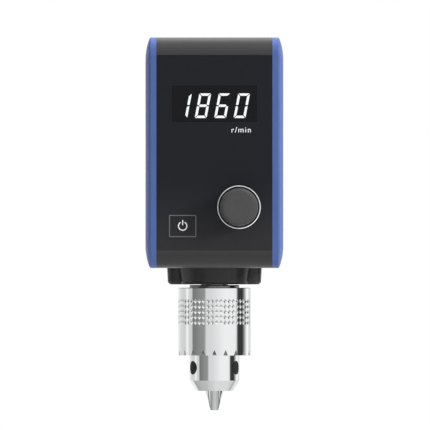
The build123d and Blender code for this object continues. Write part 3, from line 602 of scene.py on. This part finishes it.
unit_curve = bpy.data.curves.new("unit_text", "FONT")
unit_curve.body = "r/min"
unit_curve.size = unit_size
unit_curve.extrude = print_height / 2
unit_curve.space_character = unit_spacing
unit_curve.align_x = "RIGHT"
unit_mesh = make_plain(put_in_scene("unit_source", unit_curve))
unit_place = Matrix.Translation((unit_right, panel_face - print_height / 2, unit_foot))
unit_mesh.transform(unit_place @ Matrix.Rotation(radians(90), 4, "X"))
unit_mesh.materials.clear()
unit_mesh.materials.append(light_ink)
unit_sign = put_in_scene("unit_sign", unit_mesh)
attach(unit_sign, "housing")


# Power key: a cap flush with the panel on a stem, with a printed outline and the standby sign.
# The cap is moulded in the same black as the panel.
finish_nodes(painted_shading_film("key_cap", 0.42), "power_key")
finish_nodes(black_plastic, "key_plunger")
key_low, key_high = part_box("power_key")
key_face = key_low.y
key_x = (key_low.x + key_high.x) / 2
key_z = (key_low.z + key_high.z) / 2
outline_width = 0.38 * mm
outline_corner = 0.5 * mm
sign_radius = 1.82 * mm
sign_width = 0.44 * mm
sign_gap_angle = 28.0
sign_bar_foot = 0.35 * mm
sign_bar_top = 2.6 * mm


def rounded_corners(low, high, corner, inset, steps=6):
    """Points round a rounded rectangle, moved inwards by an inset."""
    points = []
    for turn, side_x, side_z in ((0, 1, 1), (90, -1, 1), (180, -1, -1), (270, 1, -1)):
        x = (high.x if side_x > 0 else low.x) - side_x * corner
        z = (high.z if side_z > 0 else low.z) - side_z * corner
        points += arc_points(x, z, corner - inset, turn, turn + 90, steps)
    return points


key_outline = bmesh.new()
raise_line(
    key_outline,
    rounded_corners(key_low, key_high, outline_corner, 0.0),
    rounded_corners(key_low, key_high, outline_corner, outline_width),
    key_face,
    closed=True,
)
outline_ink = print_ink("outline_ink", (0.14, 0.14, 0.145))
finish_sign("key_outline", key_outline, outline_ink, "power_key")

standby = bmesh.new()
half_width = sign_width / 2
sweep = (90 + sign_gap_angle, 450 - sign_gap_angle, 48)
raise_line(
    standby,
    arc_points(key_x, key_z, sign_radius + half_width, *sweep),
    arc_points(key_x, key_z, sign_radius - half_width, *sweep),
    key_face,
    closed=False,
)
bar_left = key_x - half_width
bar_right = key_x + half_width
bar_foot = key_z + sign_bar_foot
bar_top = key_z + sign_bar_top
bar = [(bar_left, bar_foot), (bar_right, bar_foot), (bar_right, bar_top), (bar_left, bar_top)]
raise_plate(standby, bar, key_face)
finish_sign("standby_sign", standby, light_ink, "power_key")


# Knob: a smooth cap of dark grey thermoplastic with a soft rounded rim, pushed on the encoder's
# shaft. Injection moulded, and polished smoother than the housing.
knob_rim_radius = 3.2 * mm
knob_plastic = moulded_plastic(
    "knob_cap",
    (0.0455, 0.0455, 0.047),
    roughness=0.2,
    specular=0.42,
    grain_size=0.25 * mm,
    grain_depth=0.002 * mm,
    wear=0.1,
)
knob_tree = knob_plastic.node_tree
soft_rim = wire(knob_tree, "ShaderNodeBevel", {"Radius": knob_rim_radius}, samples=8).outputs["Normal"]
knob_tree.links.new(soft_rim, knob_tree.nodes["Principled BSDF"].inputs["Normal"])
finish_nodes(knob_plastic, "knob")


# Stand rod: ground and polished stainless rod, its end chamfered, screwed into an aluminium block
# behind the back wall. Two countersunk socket screws hold the block from outside.
rod_low, rod_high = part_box("support_rod")
rod_height = (rod_low.z + rod_high.z) / 2
rod_axis = (0.0, 0.0, rod_height)
polished_rod = turned_metal(
    "polished_rod",
    (0.56, 0.57, 0.58),
    roughness=0.16,
    pitch=0.1 * mm,
    depth=0.0005 * mm,
    axis_point=rod_axis,
    turn=front_to_back,
)
finish_nodes(polished_rod, "support_rod")
milled_aluminium = turned_metal(
    "milled_aluminium",
    (0.78, 0.79, 0.8),
    roughness=0.36,
    pitch=0.5 * mm,
    depth=0.002 * mm,
    axis_point=rod_axis,
    turn=front_to_back,
)
finish_nodes(milled_aluminium, "arm_block")


def mark_sharp(shape, limit):
    """Smooth faces that meet at small angles, and crisp edges elsewhere."""
    for face in shape.faces:
        face.smooth = True
    for edge in shape.edges:
        if len(edge.link_faces) == 2:
            edge.smooth = edge.calc_face_angle(0.0) < limit


def socket_screw(name, profile, flats, socket_depth):
    """A screw whose head faces down at height 0, from its profile, with a hexagon socket."""
    steps = 48
    turns = [2 * pi * i / steps for i in range(steps)]
    hexagon = [flats / 2 / cos((turn % (pi / 3)) - pi / 6) for turn in turns]
    outlines = [(hexagon, socket_depth), (hexagon, 0.0)]
    outlines += [([radius] * steps, height) for radius, height in profile]
    shape = bmesh.new()
    rings = []
    for radii, height in outlines:
        corners = [(radius * cos(turn), radius * sin(turn), height) for radius, turn in zip(radii, turns)]
        rings.append([shape.verts.new(corner) for corner in corners])
    for first, second in zip(rings, rings[1:]):
        for i in range(steps):
            j = (i + 1) % steps
            shape.faces.new((first[i], first[j], second[j], second[i]))
    shape.faces.new(rings[0])
    shape.faces.new(rings[-1])
    bmesh.ops.recalc_face_normals(shape, faces=shape.faces)
    mark_sharp(shape, limit=radians(28))
    return keep_shape(name, shape)


def open_layout(name, inputs):
    """Starts a geometry node tree; returns it, its inputs, its end node and the inputs' identifiers."""
    tree = bpy.data.node_groups.new(name, "GeometryNodeTree")
    tree.interface.new_socket(name="Geometry", in_out="INPUT", socket_type="NodeSocketGeometry")
    keys = {}
    for label, kind in inputs.items():
        socket = tree.interface.new_socket(name=label, in_out="INPUT", socket_type=kind)
        keys[label] = socket.identifier
    tree.interface.new_socket(name="Geometry", in_out="OUTPUT", socket_type="NodeSocketGeometry")
    return tree, tree.nodes.new("NodeGroupInput").outputs, tree.nodes.new("NodeGroupOutput"), keys


def close_layout(tree, end, copies, material):
    """Makes the copies real, gives them their material and ends the tree."""
    real = wire(tree, "GeometryNodeRealizeInstances", {"Geometry": copies}).outputs[0]
    painted = wire(tree, "GeometryNodeSetMaterial", {"Geometry": real, "Material": material}).outputs[0]
    tree.links.new(painted, end.inputs["Geometry"])


def lay_out(name, mesh, tree, keys, values):
    """Runs a mesh through a geometry node tree and returns the plain mesh that it makes."""
    source = put_in_scene(name + "_source", mesh)
    modifier = source.modifiers.new("layout", "NODES")
    modifier.node_group = tree
    for label, value in values.items():
        modifier[keys[label]] = value
    return make_plain(source)


def place_row(name, mesh, count, spacing, start, turn, material):
    """Sets turned copies of a mesh in a row, as one piece."""
    vector = "NodeSocketVector"
    tree, given, end, keys = open_layout(
        name + "_row", {"Count": "NodeSocketInt", "Spacing": vector, "Start": vector, "Turn": vector}
    )
    row = wire(
        tree,
        "GeometryNodeMeshLine",
        {"Count": given["Count"], "Start Location": given["Start"], "Offset": given["Spacing"]},
    ).outputs[0]
    turned = wire(
        tree, "GeometryNodeTransform", {"Geometry": given["Geometry"], "Rotation": given["Turn"]}
    ).outputs[0]
    copies = wire(tree, "GeometryNodeInstanceOnPoints", {"Points": row, "Instance": turned}).outputs[0]
    close_layout(tree, end, copies, material)
    values = {"Count": count, "Spacing": spacing, "Start": start, "Turn": turn}
    return put_in_scene(name, lay_out(name, mesh, tree, keys, values))


block_screw_low, block_screw_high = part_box("arm_block_screws")
block_head = (block_screw_high.z - block_screw_low.z) / 2
block_head_edge = 0.1 * mm
block_shank = 2.0 * mm
block_length = block_screw_high.y - block_screw_low.y
block_span = block_screw_high.x - block_screw_low.x - 2 * block_head
block_screw = socket_screw(
    "countersunk_screw",
    [
        (block_head - block_head_edge, 0.0),
        (block_head, block_head_edge),
        (block_shank, block_head - block_shank + block_head_edge),
        (block_shank, block_length),
    ],
    flats=2.5 * mm,
    socket_depth=1.3 * mm,
)
block_screws = place_row(
    "rod_block_screws",
    block_screw,
    count=2,
    spacing=(block_span, 0.0, 0.0),
    start=(-block_span / 2, block_screw_high.y, rod_height),
    turn=front_to_back,
    material=plain_steel,
)
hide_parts("arm_block_screws")
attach(block_screws, "housing")


# Neck screws: two nickel plated socket cap screws, sunk in the ears of the neck from below.
# They pass the housing's floor and clamp the motor's flange on its other side.
neck_screw_low, neck_screw_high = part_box("neck_screws")
neck_head = (neck_screw_high.y - neck_screw_low.y) / 2
neck_head_height = 2.6 * mm
neck_head_edge = 0.25 * mm
neck_shank = 1.25 * mm
neck_length = neck_screw_high.z - neck_screw_low.z
neck_span = neck_screw_high.x - neck_screw_low.x - 2 * neck_head
neck_screw = socket_screw(
    "cap_screw",
    [
        (neck_head - neck_head_edge, 0.0),
        (neck_head, neck_head_edge),
        (neck_head, neck_head_height),
        (neck_shank, neck_head_height),
        (neck_shank, neck_length),
    ],
    flats=2.0 * mm,
    socket_depth=1.3 * mm,
)
neck_screws = place_row(
    "neck_cap_screws",
    neck_screw,
    count=2,
    spacing=(neck_span, 0.0, 0.0),
    start=(-neck_span / 2, 0.0, neck_screw_low.z),
    turn=upright,
    material=plain_steel,
)
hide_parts("neck_screws")
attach(neck_screws, "housing")


# Supply socket: a moulded barrel with a gold plated centre pin, clamped in the back wall by its
# nut. The external power supply plugs in here.
inlet_low, inlet_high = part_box("dc_inlet")
inlet_axis = (0.0, 0.0, (inlet_low.z + inlet_high.z) / 2)
gold_plating = turned_metal(
    "contact_plating",
    (0.75, 0.6, 0.3),
    roughness=0.22,
    pitch=0.1 * mm,
    depth=0.0005 * mm,
    axis_point=inlet_axis,
    turn=front_to_back,
)
finish_nodes(gold_plating, "dc_inlet_pin")
finish_nodes(black_plastic, "dc_inlet")
finish_nodes(plain_steel, "dc_inlet_nut")


# Chuck body: turned from one bar, with a cone nose, three inclined bores for the jaws and three
# holes for the pilot of the key. Steel, ground and bright chrome plated.
first_bore = radians(90)
half_bore_spacing = radians(60)


def make_painted_shade_zones():
    """Masks of the inside of the three radial bores round the nose, and of the tail over the sleeve, where
    the chrome gets painted shade.
    """
    tree, given, end = open_group(
        "painted_shade_zones",
        {"Bore Height": 18.6 * mm, "Bore Reach": 3.2 * mm, "Barrel": 10.9 * mm, "Tail Height": 53.3 * mm},
        {"Inside": "NodeSocketFloat", "Tail": "NodeSocketFloat"},
    )
    parts = wire(tree, "ShaderNodeSeparateXYZ", {0: object_place(tree)}).outputs
    radius = axis_distance(tree, parts)
    bearing = calculate(tree, "ARCTAN2", parts["Y"], parts["X"])
    from_bore = calculate(tree, "SUBTRACT", bearing, first_bore)
    nearest = calculate(tree, "WRAP", from_bore, half_bore_spacing, -half_bore_spacing)
    aside = calculate(tree, "MULTIPLY", calculate(tree, "SINE", nearest), radius)
    above = calculate(tree, "SUBTRACT", parts["Z"], given["Bore Height"])
    offset = wire(tree, "ShaderNodeCombineXYZ", {0: aside, 1: above}).outputs[0]
    distance = wire(tree, "ShaderNodeVectorMath", {0: offset}, operation="LENGTH").outputs["Value"]
    near = calculate(tree, "LESS_THAN", distance, given["Bore Reach"])
    deep = calculate(tree, "LESS_THAN", radius, given["Barrel"])
    inside = calculate(tree, "MULTIPLY", near, deep)
    tail = calculate(tree, "GREATER_THAN", parts["Z"], given["Tail Height"])
    return close_group(tree, end, {"Inside": inside, "Tail": tail})


def chrome_plating(name, roughness, haze_amount, zones, shade_finishes):
    """Bright chrome, painted darker as painted shade in some zones, each with its own colour and roughness.
    """
    material, tree, shader = open_material(name, roughness, Metallic=1.0)
    haze, gloss = hazed_gloss(tree, roughness, 14.0 * mm, haze_amount)
    colour = blend_colour(tree, haze, (0.87, 0.88, 0.885), (0.82, 0.83, 0.84))
    masks = use_group(tree, zones)
    for label, (shade_colour, shade_roughness) in shade_finishes.items():
        colour = blend_colour(tree, masks[label], colour, shade_colour)
        gloss = wire(tree, "ShaderNodeMix", {0: masks[label], 2: gloss, 3: shade_roughness}).outputs[0]
    lines = use_group(tree, turning_lines, Vector=object_place(tree), Pitch=0.25 * mm, Depth=0.00008 * mm)
    tree.links.new(colour, shader.inputs["Base Color"])
    tree.links.new(gloss, shader.inputs["Roughness"])
    tree.links.new(lines["Normal"], shader.inputs["Normal"])
    return material


chrome_roughness = 0.035
chrome_haze = 0.05
# Painted shade: the chrome is painted darker inside the key holes and on the tail between the neck and the
# sleeve.
painted_shade_steel = {"Inside": ((0.3, 0.3, 0.3), 0.7), "Tail": ((0.15, 0.15, 0.155), 0.06)}
bored_chrome = chrome_plating(
    "bored_chrome", chrome_roughness, chrome_haze, make_painted_shade_zones(), painted_shade_steel
)
finish_nodes(bored_chrome, "chuck_body")


# Chuck sleeve: turned shell with a bevel crown of twenty gaps for the key along its foot, and a
# band of coined diamond pits to grip it by. Steel, bright chrome plated like the body.
def make_painted_gap_shade():
    """A mask of the flanks of the crown's gaps, where the chrome is painted darker as painted shade in the
    notches.
    """
    tree, given, end = open_group(
        "painted_gap_shade", {"Barrel": 15.88 * mm, "Crown Top": 26.55 * mm}, {"Gap Shade": "NodeSocketFloat"}
    )
    parts = wire(tree, "ShaderNodeSeparateXYZ", {0: object_place(tree)}).outputs
    within = calculate(tree, "LESS_THAN", axis_distance(tree, parts), given["Barrel"])
    low = calculate(tree, "LESS_THAN", parts["Z"], given["Crown Top"])
    return close_group(tree, end, {"Gap Shade": calculate(tree, "MULTIPLY", within, low)})


# Painted shade: the flanks of the crown's gaps are painted a darker grey than the chrome.
painted_gap_shade_finish = {"Gap Shade": ((0.46, 0.46, 0.465), 0.06)}
bright_chrome = chrome_plating(
    "bright_chrome", chrome_roughness, chrome_haze, make_painted_gap_shade(), painted_gap_shade_finish
)
sleeve_low, sleeve_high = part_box("chuck_sleeve")
sleeve_radius = sleeve_high.x
sleeve_wall = 1.65 * mm
sleeve_edge = 0.2 * mm
lip_height = 2.4 * mm
lip_bore = 11.25 * mm
crown_teeth = 20
crown_depth = 2.5 * mm
crown_gap_width = 2.2 * mm
crown_inner_depth = 0.3 * mm
pit_rows = 5
pit_columns = 52
pit_pitch = 2.33 * mm
pit_band_middle = 43.0 * mm
pit_depth = 0.34 * mm
pit_share = 0.92
cell_steps = 20
sectors = 4
weld_distance = 0.001 * mm


def crown_profile(angle):
    """The foot of the sleeve at an angle: outer corner, where the gap runs out, and inner corner."""
    tooth = 2 * pi / crown_teeth
    offset = abs((angle + tooth / 2) % tooth - tooth / 2)
    inner_half = crown_gap_width / 2 * crown_inner_depth / crown_depth
    widening = (crown_gap_width / 2 - inner_half) / (sleeve_radius - lip_bore)
    outer_share = max(0.0, 1 - offset * sleeve_radius / (crown_gap_width / 2))
    inner_share = max(0.0, 1 - offset * lip_bore / inner_half)
    slack = widening - tan(offset)
    run_out = sleeve_radius if slack <= 0 else (widening * lip_bore - inner_half) / slack
    run_out = min(max(run_out, lip_bore), sleeve_radius)
    foot = sleeve_low.z
    inner = foot + crown_inner_depth * inner_share
    middle = inner if run_out == lip_bore else foot
    if outer_share == 0:
        run_out, middle = sleeve_radius, foot
    return [(lip_bore, inner), (run_out, middle), (sleeve_radius, foot + crown_depth * outer_share)]


def sleeve_column(step):
    """Radius and height down one line of the sleeve, once round its wall."""
    angle = 2 * pi * step / (pit_columns * cell_steps)
    across = abs((step % cell_steps) - cell_steps / 2) / (cell_steps / 2)
    pit = max(0.0, 1 - across / pit_share)
    reach = pit * pit_share * pit_pitch / 2
    bore = sleeve_radius - sleeve_wall
    lip_top = sleeve_low.z + lip_height
    points = crown_profile(angle)
    for row in range(pit_rows):
        middle = pit_band_middle + (row - (pit_rows - 1) / 2) * pit_pitch
        points += [
            (sleeve_radius, middle - reach),
            (sleeve_radius - pit_depth * pit, middle),
            (sleeve_radius, middle + reach),
        ]
    points += [
        (sleeve_radius, sleeve_high.z - sleeve_edge),
        (sleeve_radius - sleeve_edge, sleeve_high.z),
        (bore, sleeve_high.z),
        (bore, lip_top),
        (lip_bore, lip_top),
    ]
    return angle - pi / 2, points


def sleeve_sector():
    """A share of the sleeve, column by column, open at both its sides."""
    shape = bmesh.new()
    lines = []
    for step in range(pit_columns * cell_steps // sectors + 1):
        angle, points = sleeve_column(step)
        lines.append([shape.verts.new((r * cos(angle), r * sin(angle), z)) for r, z in points])
    for first, second in zip(lines, lines[1:]):
        for i in range(len(first)):
            j = (i + 1) % len(first)
            shape.faces.new((first[i], second[i], second[j], first[j]))
    return keep_shape("sleeve_sector", shape)


def turn_sectors(name, mesh, count, material):
    """Copies a sector round the spindle's axis with a geometry node tree, and joins the copies."""
    tree, given, end, keys = open_layout(name + "_round", {"Sectors": "NodeSocketInt"})
    points = wire(tree, "GeometryNodePoints", {"Count": given["Sectors"]}).outputs[0]
    index = wire(tree, "GeometryNodeInputIndex").outputs[0]
    share = calculate(tree, "DIVIDE", index, given["Sectors"])
    rotation = wire(tree, "ShaderNodeCombineXYZ", {2: calculate(tree, "MULTIPLY", share, 2 * pi)})
    copies = wire(
        tree,
        "GeometryNodeInstanceOnPoints",
        {"Points": points, "Instance": given["Geometry"], "Rotation": rotation.outputs[0]},
    ).outputs[0]
    close_layout(tree, end, copies, material)
    plain = lay_out(name, mesh, tree, keys, {"Sectors": count})
    shape = bmesh.new()
    shape.from_mesh(plain)
    bmesh.ops.remove_doubles(shape, verts=shape.verts, dist=weld_distance)
    bmesh.ops.dissolve_degenerate(shape, edges=shape.edges, dist=weld_distance)
    bmesh.ops.recalc_face_normals(shape, faces=shape.faces)
    mark_sharp(shape, limit=radians(8))
    shape.to_mesh(plain)
    shape.free()
    return put_in_scene(name, plain)


sleeve = turn_sectors("knurled_sleeve", sleeve_sector(), sectors, bright_chrome)
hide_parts("chuck_sleeve")
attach(sleeve, "chuck_sleeve")


# Split nut and jaws: hardened steel, the nut in two halves under the sleeve, the jaws ground to a
# wedge at the nose.
finish_nodes(ground_steel, "split_nut")
jaw_steel = turned_metal(
    "jaw_steel", (0.86, 0.87, 0.87), roughness=0.16, pitch=0.3 * mm, depth=0.0004 * mm, contrast=0.04
)
finish_nodes(jaw_steel, "jaw_front", "jaw_right", "jaw_left")


# Studio: a pale floor under the hanging drive, a white surround, soft lamps, and a tent of white,
# grey and black cards whose reflections run down the chrome.
floor_level = -60.0 * mm
floor_half = 0.8
floor_fade_start = 0.15


def card_corners(half_width, near, far, height):
    """The corners of a level card, round from the left of its near edge."""
    return [
        (-half_width, near, height), (half_width, near, height),
        (half_width, far, height), (-half_width, far, height),
    ]


def fading_floor_paint():
    """A pale paint that keeps the shadow and fades out far away; from below it isn't there."""
    material, tree, shader = open_material("floor_paint", 0.8, Specular_IOR_Level=0.2)
    grain = use_group(tree, moulded_grain, Grain_Size=1.2 * mm, Grain_Depth=0.02 * mm)
    pale = blend_colour(tree, grain["Cloud"], (0.8, 0.8, 0.8), (0.82, 0.82, 0.82))
    tree.links.new(pale, shader.inputs["Base Color"])
    clear = wire(tree, "ShaderNodeBsdfTransparent").outputs[0]
    from_below = wire(tree, "ShaderNodeNewGeometry").outputs["Backfacing"]
    radius = wire(tree, "ShaderNodeVectorMath", {0: object_place(tree)}, operation="LENGTH").outputs["Value"]
    far_out = remap(tree, radius, floor_fade_start, floor_half, interpolation_type="SMOOTHSTEP")
    unseen = calculate(tree, "MAXIMUM", from_below, far_out)
    shown = wire(tree, "ShaderNodeMixShader", {0: unseen, 1: shader.outputs[0], 2: clear}).outputs[0]
    tree.links.new(shown, tree.nodes["Material Output"].inputs["Surface"])
    return material


floor_mesh = bpy.data.meshes.new("floor")
floor_mesh.from_pydata(card_corners(floor_half, -floor_half, floor_half, 0.0), [], [(0, 1, 2, 3)])
floor_mesh.materials.append(fading_floor_paint())
floor = put_in_scene("floor", floor_mesh)
floor.location.z = floor_level
floor.visible_glossy = False


def hidden_reflector(name, vertices, faces, material):
    """A surface that only reflections see."""
    mesh = bpy.data.meshes.new(name)
    mesh.from_pydata(vertices, [], faces)
    mesh.materials.append(material)
    reflector = put_in_scene(name, mesh)
    for ray in ("camera", "diffuse", "shadow", "transmission", "volume_scatter"):
        setattr(reflector, "visible_" + ray, False)


def bearing_glow(name, stops, fade_start=2.0, fade_end=3.0, dim_share=0.65):
    """A glow set by the bearing round the spindle (0 towards the camera), and weaker far out in front."""
    material = bpy.data.materials.new(name)
    material.use_nodes = True
    tree = material.node_tree
    tree.nodes.clear()
    parts = wire(tree, "ShaderNodeSeparateXYZ", {0: object_place(tree)}).outputs
    forward = calculate(tree, "MULTIPLY", parts["Y"], -1.0)
    bearing = calculate(tree, "ARCTAN2", parts["X"], forward)
    ramp = wire(tree, "ShaderNodeValToRGB", {0: remap(tree, bearing, -pi, pi)})
    marks = ramp.color_ramp.elements
    marks.remove(marks[1])
    marks[0].position = 0.0
    first_level = stops[0][1]
    marks[0].color = (first_level, first_level, first_level, 1.0)
    for angle, level in stops[1:]:
        marks.new((angle + 180) / 360).color = (level, level, level, 1.0)
    fade = remap(tree, axis_distance(tree, parts), fade_start, fade_end, 1.0, dim_share)
    turned = calculate(tree, "ABSOLUTE", bearing)
    behind = remap(tree, turned, radians(110), radians(135))
    strength = calculate(tree, "MAXIMUM", fade, behind)
    glow = wire(tree, "ShaderNodeEmission", {"Color": ramp.outputs["Color"], "Strength": strength})
    wire(tree, "ShaderNodeOutputMaterial", {"Surface": glow.outputs[0]})
    return material


# The cards on the tent's wall and ground, each with its bearing in degrees and its brightness.
tent_radius = 1.5
tent_foot = -0.5
tent_top = 0.9
wall_levels = [
    (-180, 0.98), (-150, 0.92), (-132, 0.76), (-107, 0.69), (-102, 0.8), (-97, 1.0), (-92.5, 0.96),
    (-88, 0.79), (-84, 0.7), (-75.5, 0.7), (-72, 0.22), (-66, 0.215), (-50, 0.275), (-36, 0.306),
    (-31, 0.33), (-25.5, 0.74), (-22, 0.76), (-10, 0.76), (2, 0.82), (18, 0.9), (34, 0.97),
    (66, 0.96), (73, 0.85), (79, 0.07), (82, 0.045), (99, 0.04), (106, 0.2), (115, 0.62),
    (126, 1.1), (134, 1.02), (142, 0.74), (157, 0.85),
]
ground_levels = [
    (-180, 1.0), (-160, 1.1), (-138, 0.92), (-131, 0.67), (-123, 0.585), (-117, 0.53),
    (-110, 0.475), (-85, 0.54), (-65, 0.55), (-52, 0.61), (-44, 0.65), (-11, 0.7), (6, 0.76),
    (30, 0.8), (45, 0.775), (92, 0.78), (105, 0.73), (118, 0.7), (132, 0.72), (140, 0.82),
    (150, 0.86), (165, 0.8),
]
bearings = [radians(degrees) for degrees in range(-180, 181, 3)]
rim = [(tent_radius * sin(bearing), -tent_radius * cos(bearing)) for bearing in bearings]
hidden_reflector(
    "tent_wall",
    [(x, y, z) for x, y in rim for z in (tent_foot, tent_top)],
    [(2 * i, 2 * i + 1, 2 * i + 3, 2 * i + 2) for i in range(len(rim) - 1)],
    bearing_glow("tent_wall", wall_levels),
)
hidden_reflector(
    "tent_ground",
    [(x, y, tent_foot) for x, y in rim[:-1]],
    [tuple(range(len(rim) - 1))],
    bearing_glow("tent_ground", ground_levels, fade_start=0.6, fade_end=0.8),
)

drive_middle = (0.0, 0.0, 0.1)
softbox_place = Vector((0.57, -0.8, 1.19))
softbox_radius = 0.4
softbox_level = 2.4
softbox_corners = 48
softbox_turn = (Vector(drive_middle) - softbox_place).to_track_quat("Z", "Y").to_matrix()
softbox_rim = []
for corner in range(softbox_corners):
    turn = 2 * pi * corner / softbox_corners
    flat = Vector((softbox_radius * cos(turn), softbox_radius * sin(turn), 0.0))
    softbox_rim.append(tuple(softbox_place + softbox_turn @ flat))
hidden_reflector(
    "softbox",
    softbox_rim,
    [tuple(range(softbox_corners))],
    bearing_glow("softbox", [(-180, softbox_level), (90, softbox_level)]),
)

ceiling_level = 2.3
ceiling_half = 0.9
ceiling_near = 0.15
ceiling_far = 1.5
ceiling_height = 1.25
hidden_reflector(
    "ceiling_card",
    card_corners(ceiling_half, ceiling_near, ceiling_far, ceiling_height),
    [(0, 1, 2, 3)],
    bearing_glow("ceiling_card", [(-180, ceiling_level), (90, ceiling_level)]),
)

fill_level = 0.335
world = bpy.data.worlds.new("studio")
bpy.context.scene.world = world
world.use_nodes = True
sky = world.node_tree
rays = wire(sky, "ShaderNodeLightPath").outputs
seen_or_mirrored = calculate(sky, "MAXIMUM", rays["Is Camera Ray"], rays["Is Glossy Ray"])
seen = calculate(sky, "MAXIMUM", seen_or_mirrored, rays["Is Transmission Ray"])
strength = remap(sky, seen, 0.0, 1.0, fill_level, 1.0)
background = sky.nodes["Background"]
background.inputs["Color"].default_value = (1.0, 1.0, 1.0, 1.0)
sky.links.new(strength, background.inputs["Strength"])


def soft_lamp(name, place, size, power):
    """A round lamp that lights the drive from a place, and that no reflection shows."""
    lamp_data = bpy.data.lights.new(name, "AREA")
    lamp_data.shape = "DISK"
    lamp_data.size = size
    lamp_data.energy = power
    lamp = put_in_scene(name, lamp_data)
    lamp.location = place
    lamp.rotation_euler = (Vector(drive_middle) - Vector(place)).to_track_quat("-Z", "Y").to_euler()
    lamp.visible_glossy = False


soft_lamp("top_lamp", place=(0.1, 0.0, 1.3), size=0.9, power=21.0)
soft_lamp("key_lamp", place=(1.5, -0.9, 0.7), size=0.8, power=36.0)
soft_lamp("fill_lamp", place=(-1.3, -0.9, 0.3), size=0.8, power=1.6)


# Camera: level and straight in front of the panel, far enough away that the view is nearly
# parallel. The lens is set by the width that it has to take in.
view_width = 187.05 * mm
view_distance = 8.0
view_middle_x = 0.26 * mm
view_middle_z = 85.3 * mm
sensor_width = 36.0
camera_data = bpy.data.cameras.new("camera")
camera_data.sensor_width = sensor_width
camera_data.lens = sensor_width * view_distance / view_width
camera_data.clip_start = 0.1
camera_data.clip_end = 60.0
camera = put_in_scene("camera", camera_data)
camera.location = (view_middle_x, panel_face - view_distance, view_middle_z)
camera.rotation_euler = (radians(90), 0.0, 0.0)
bpy.context.scene.camera = camera
bpy.context.scene.view_settings.view_transform = "Standard"
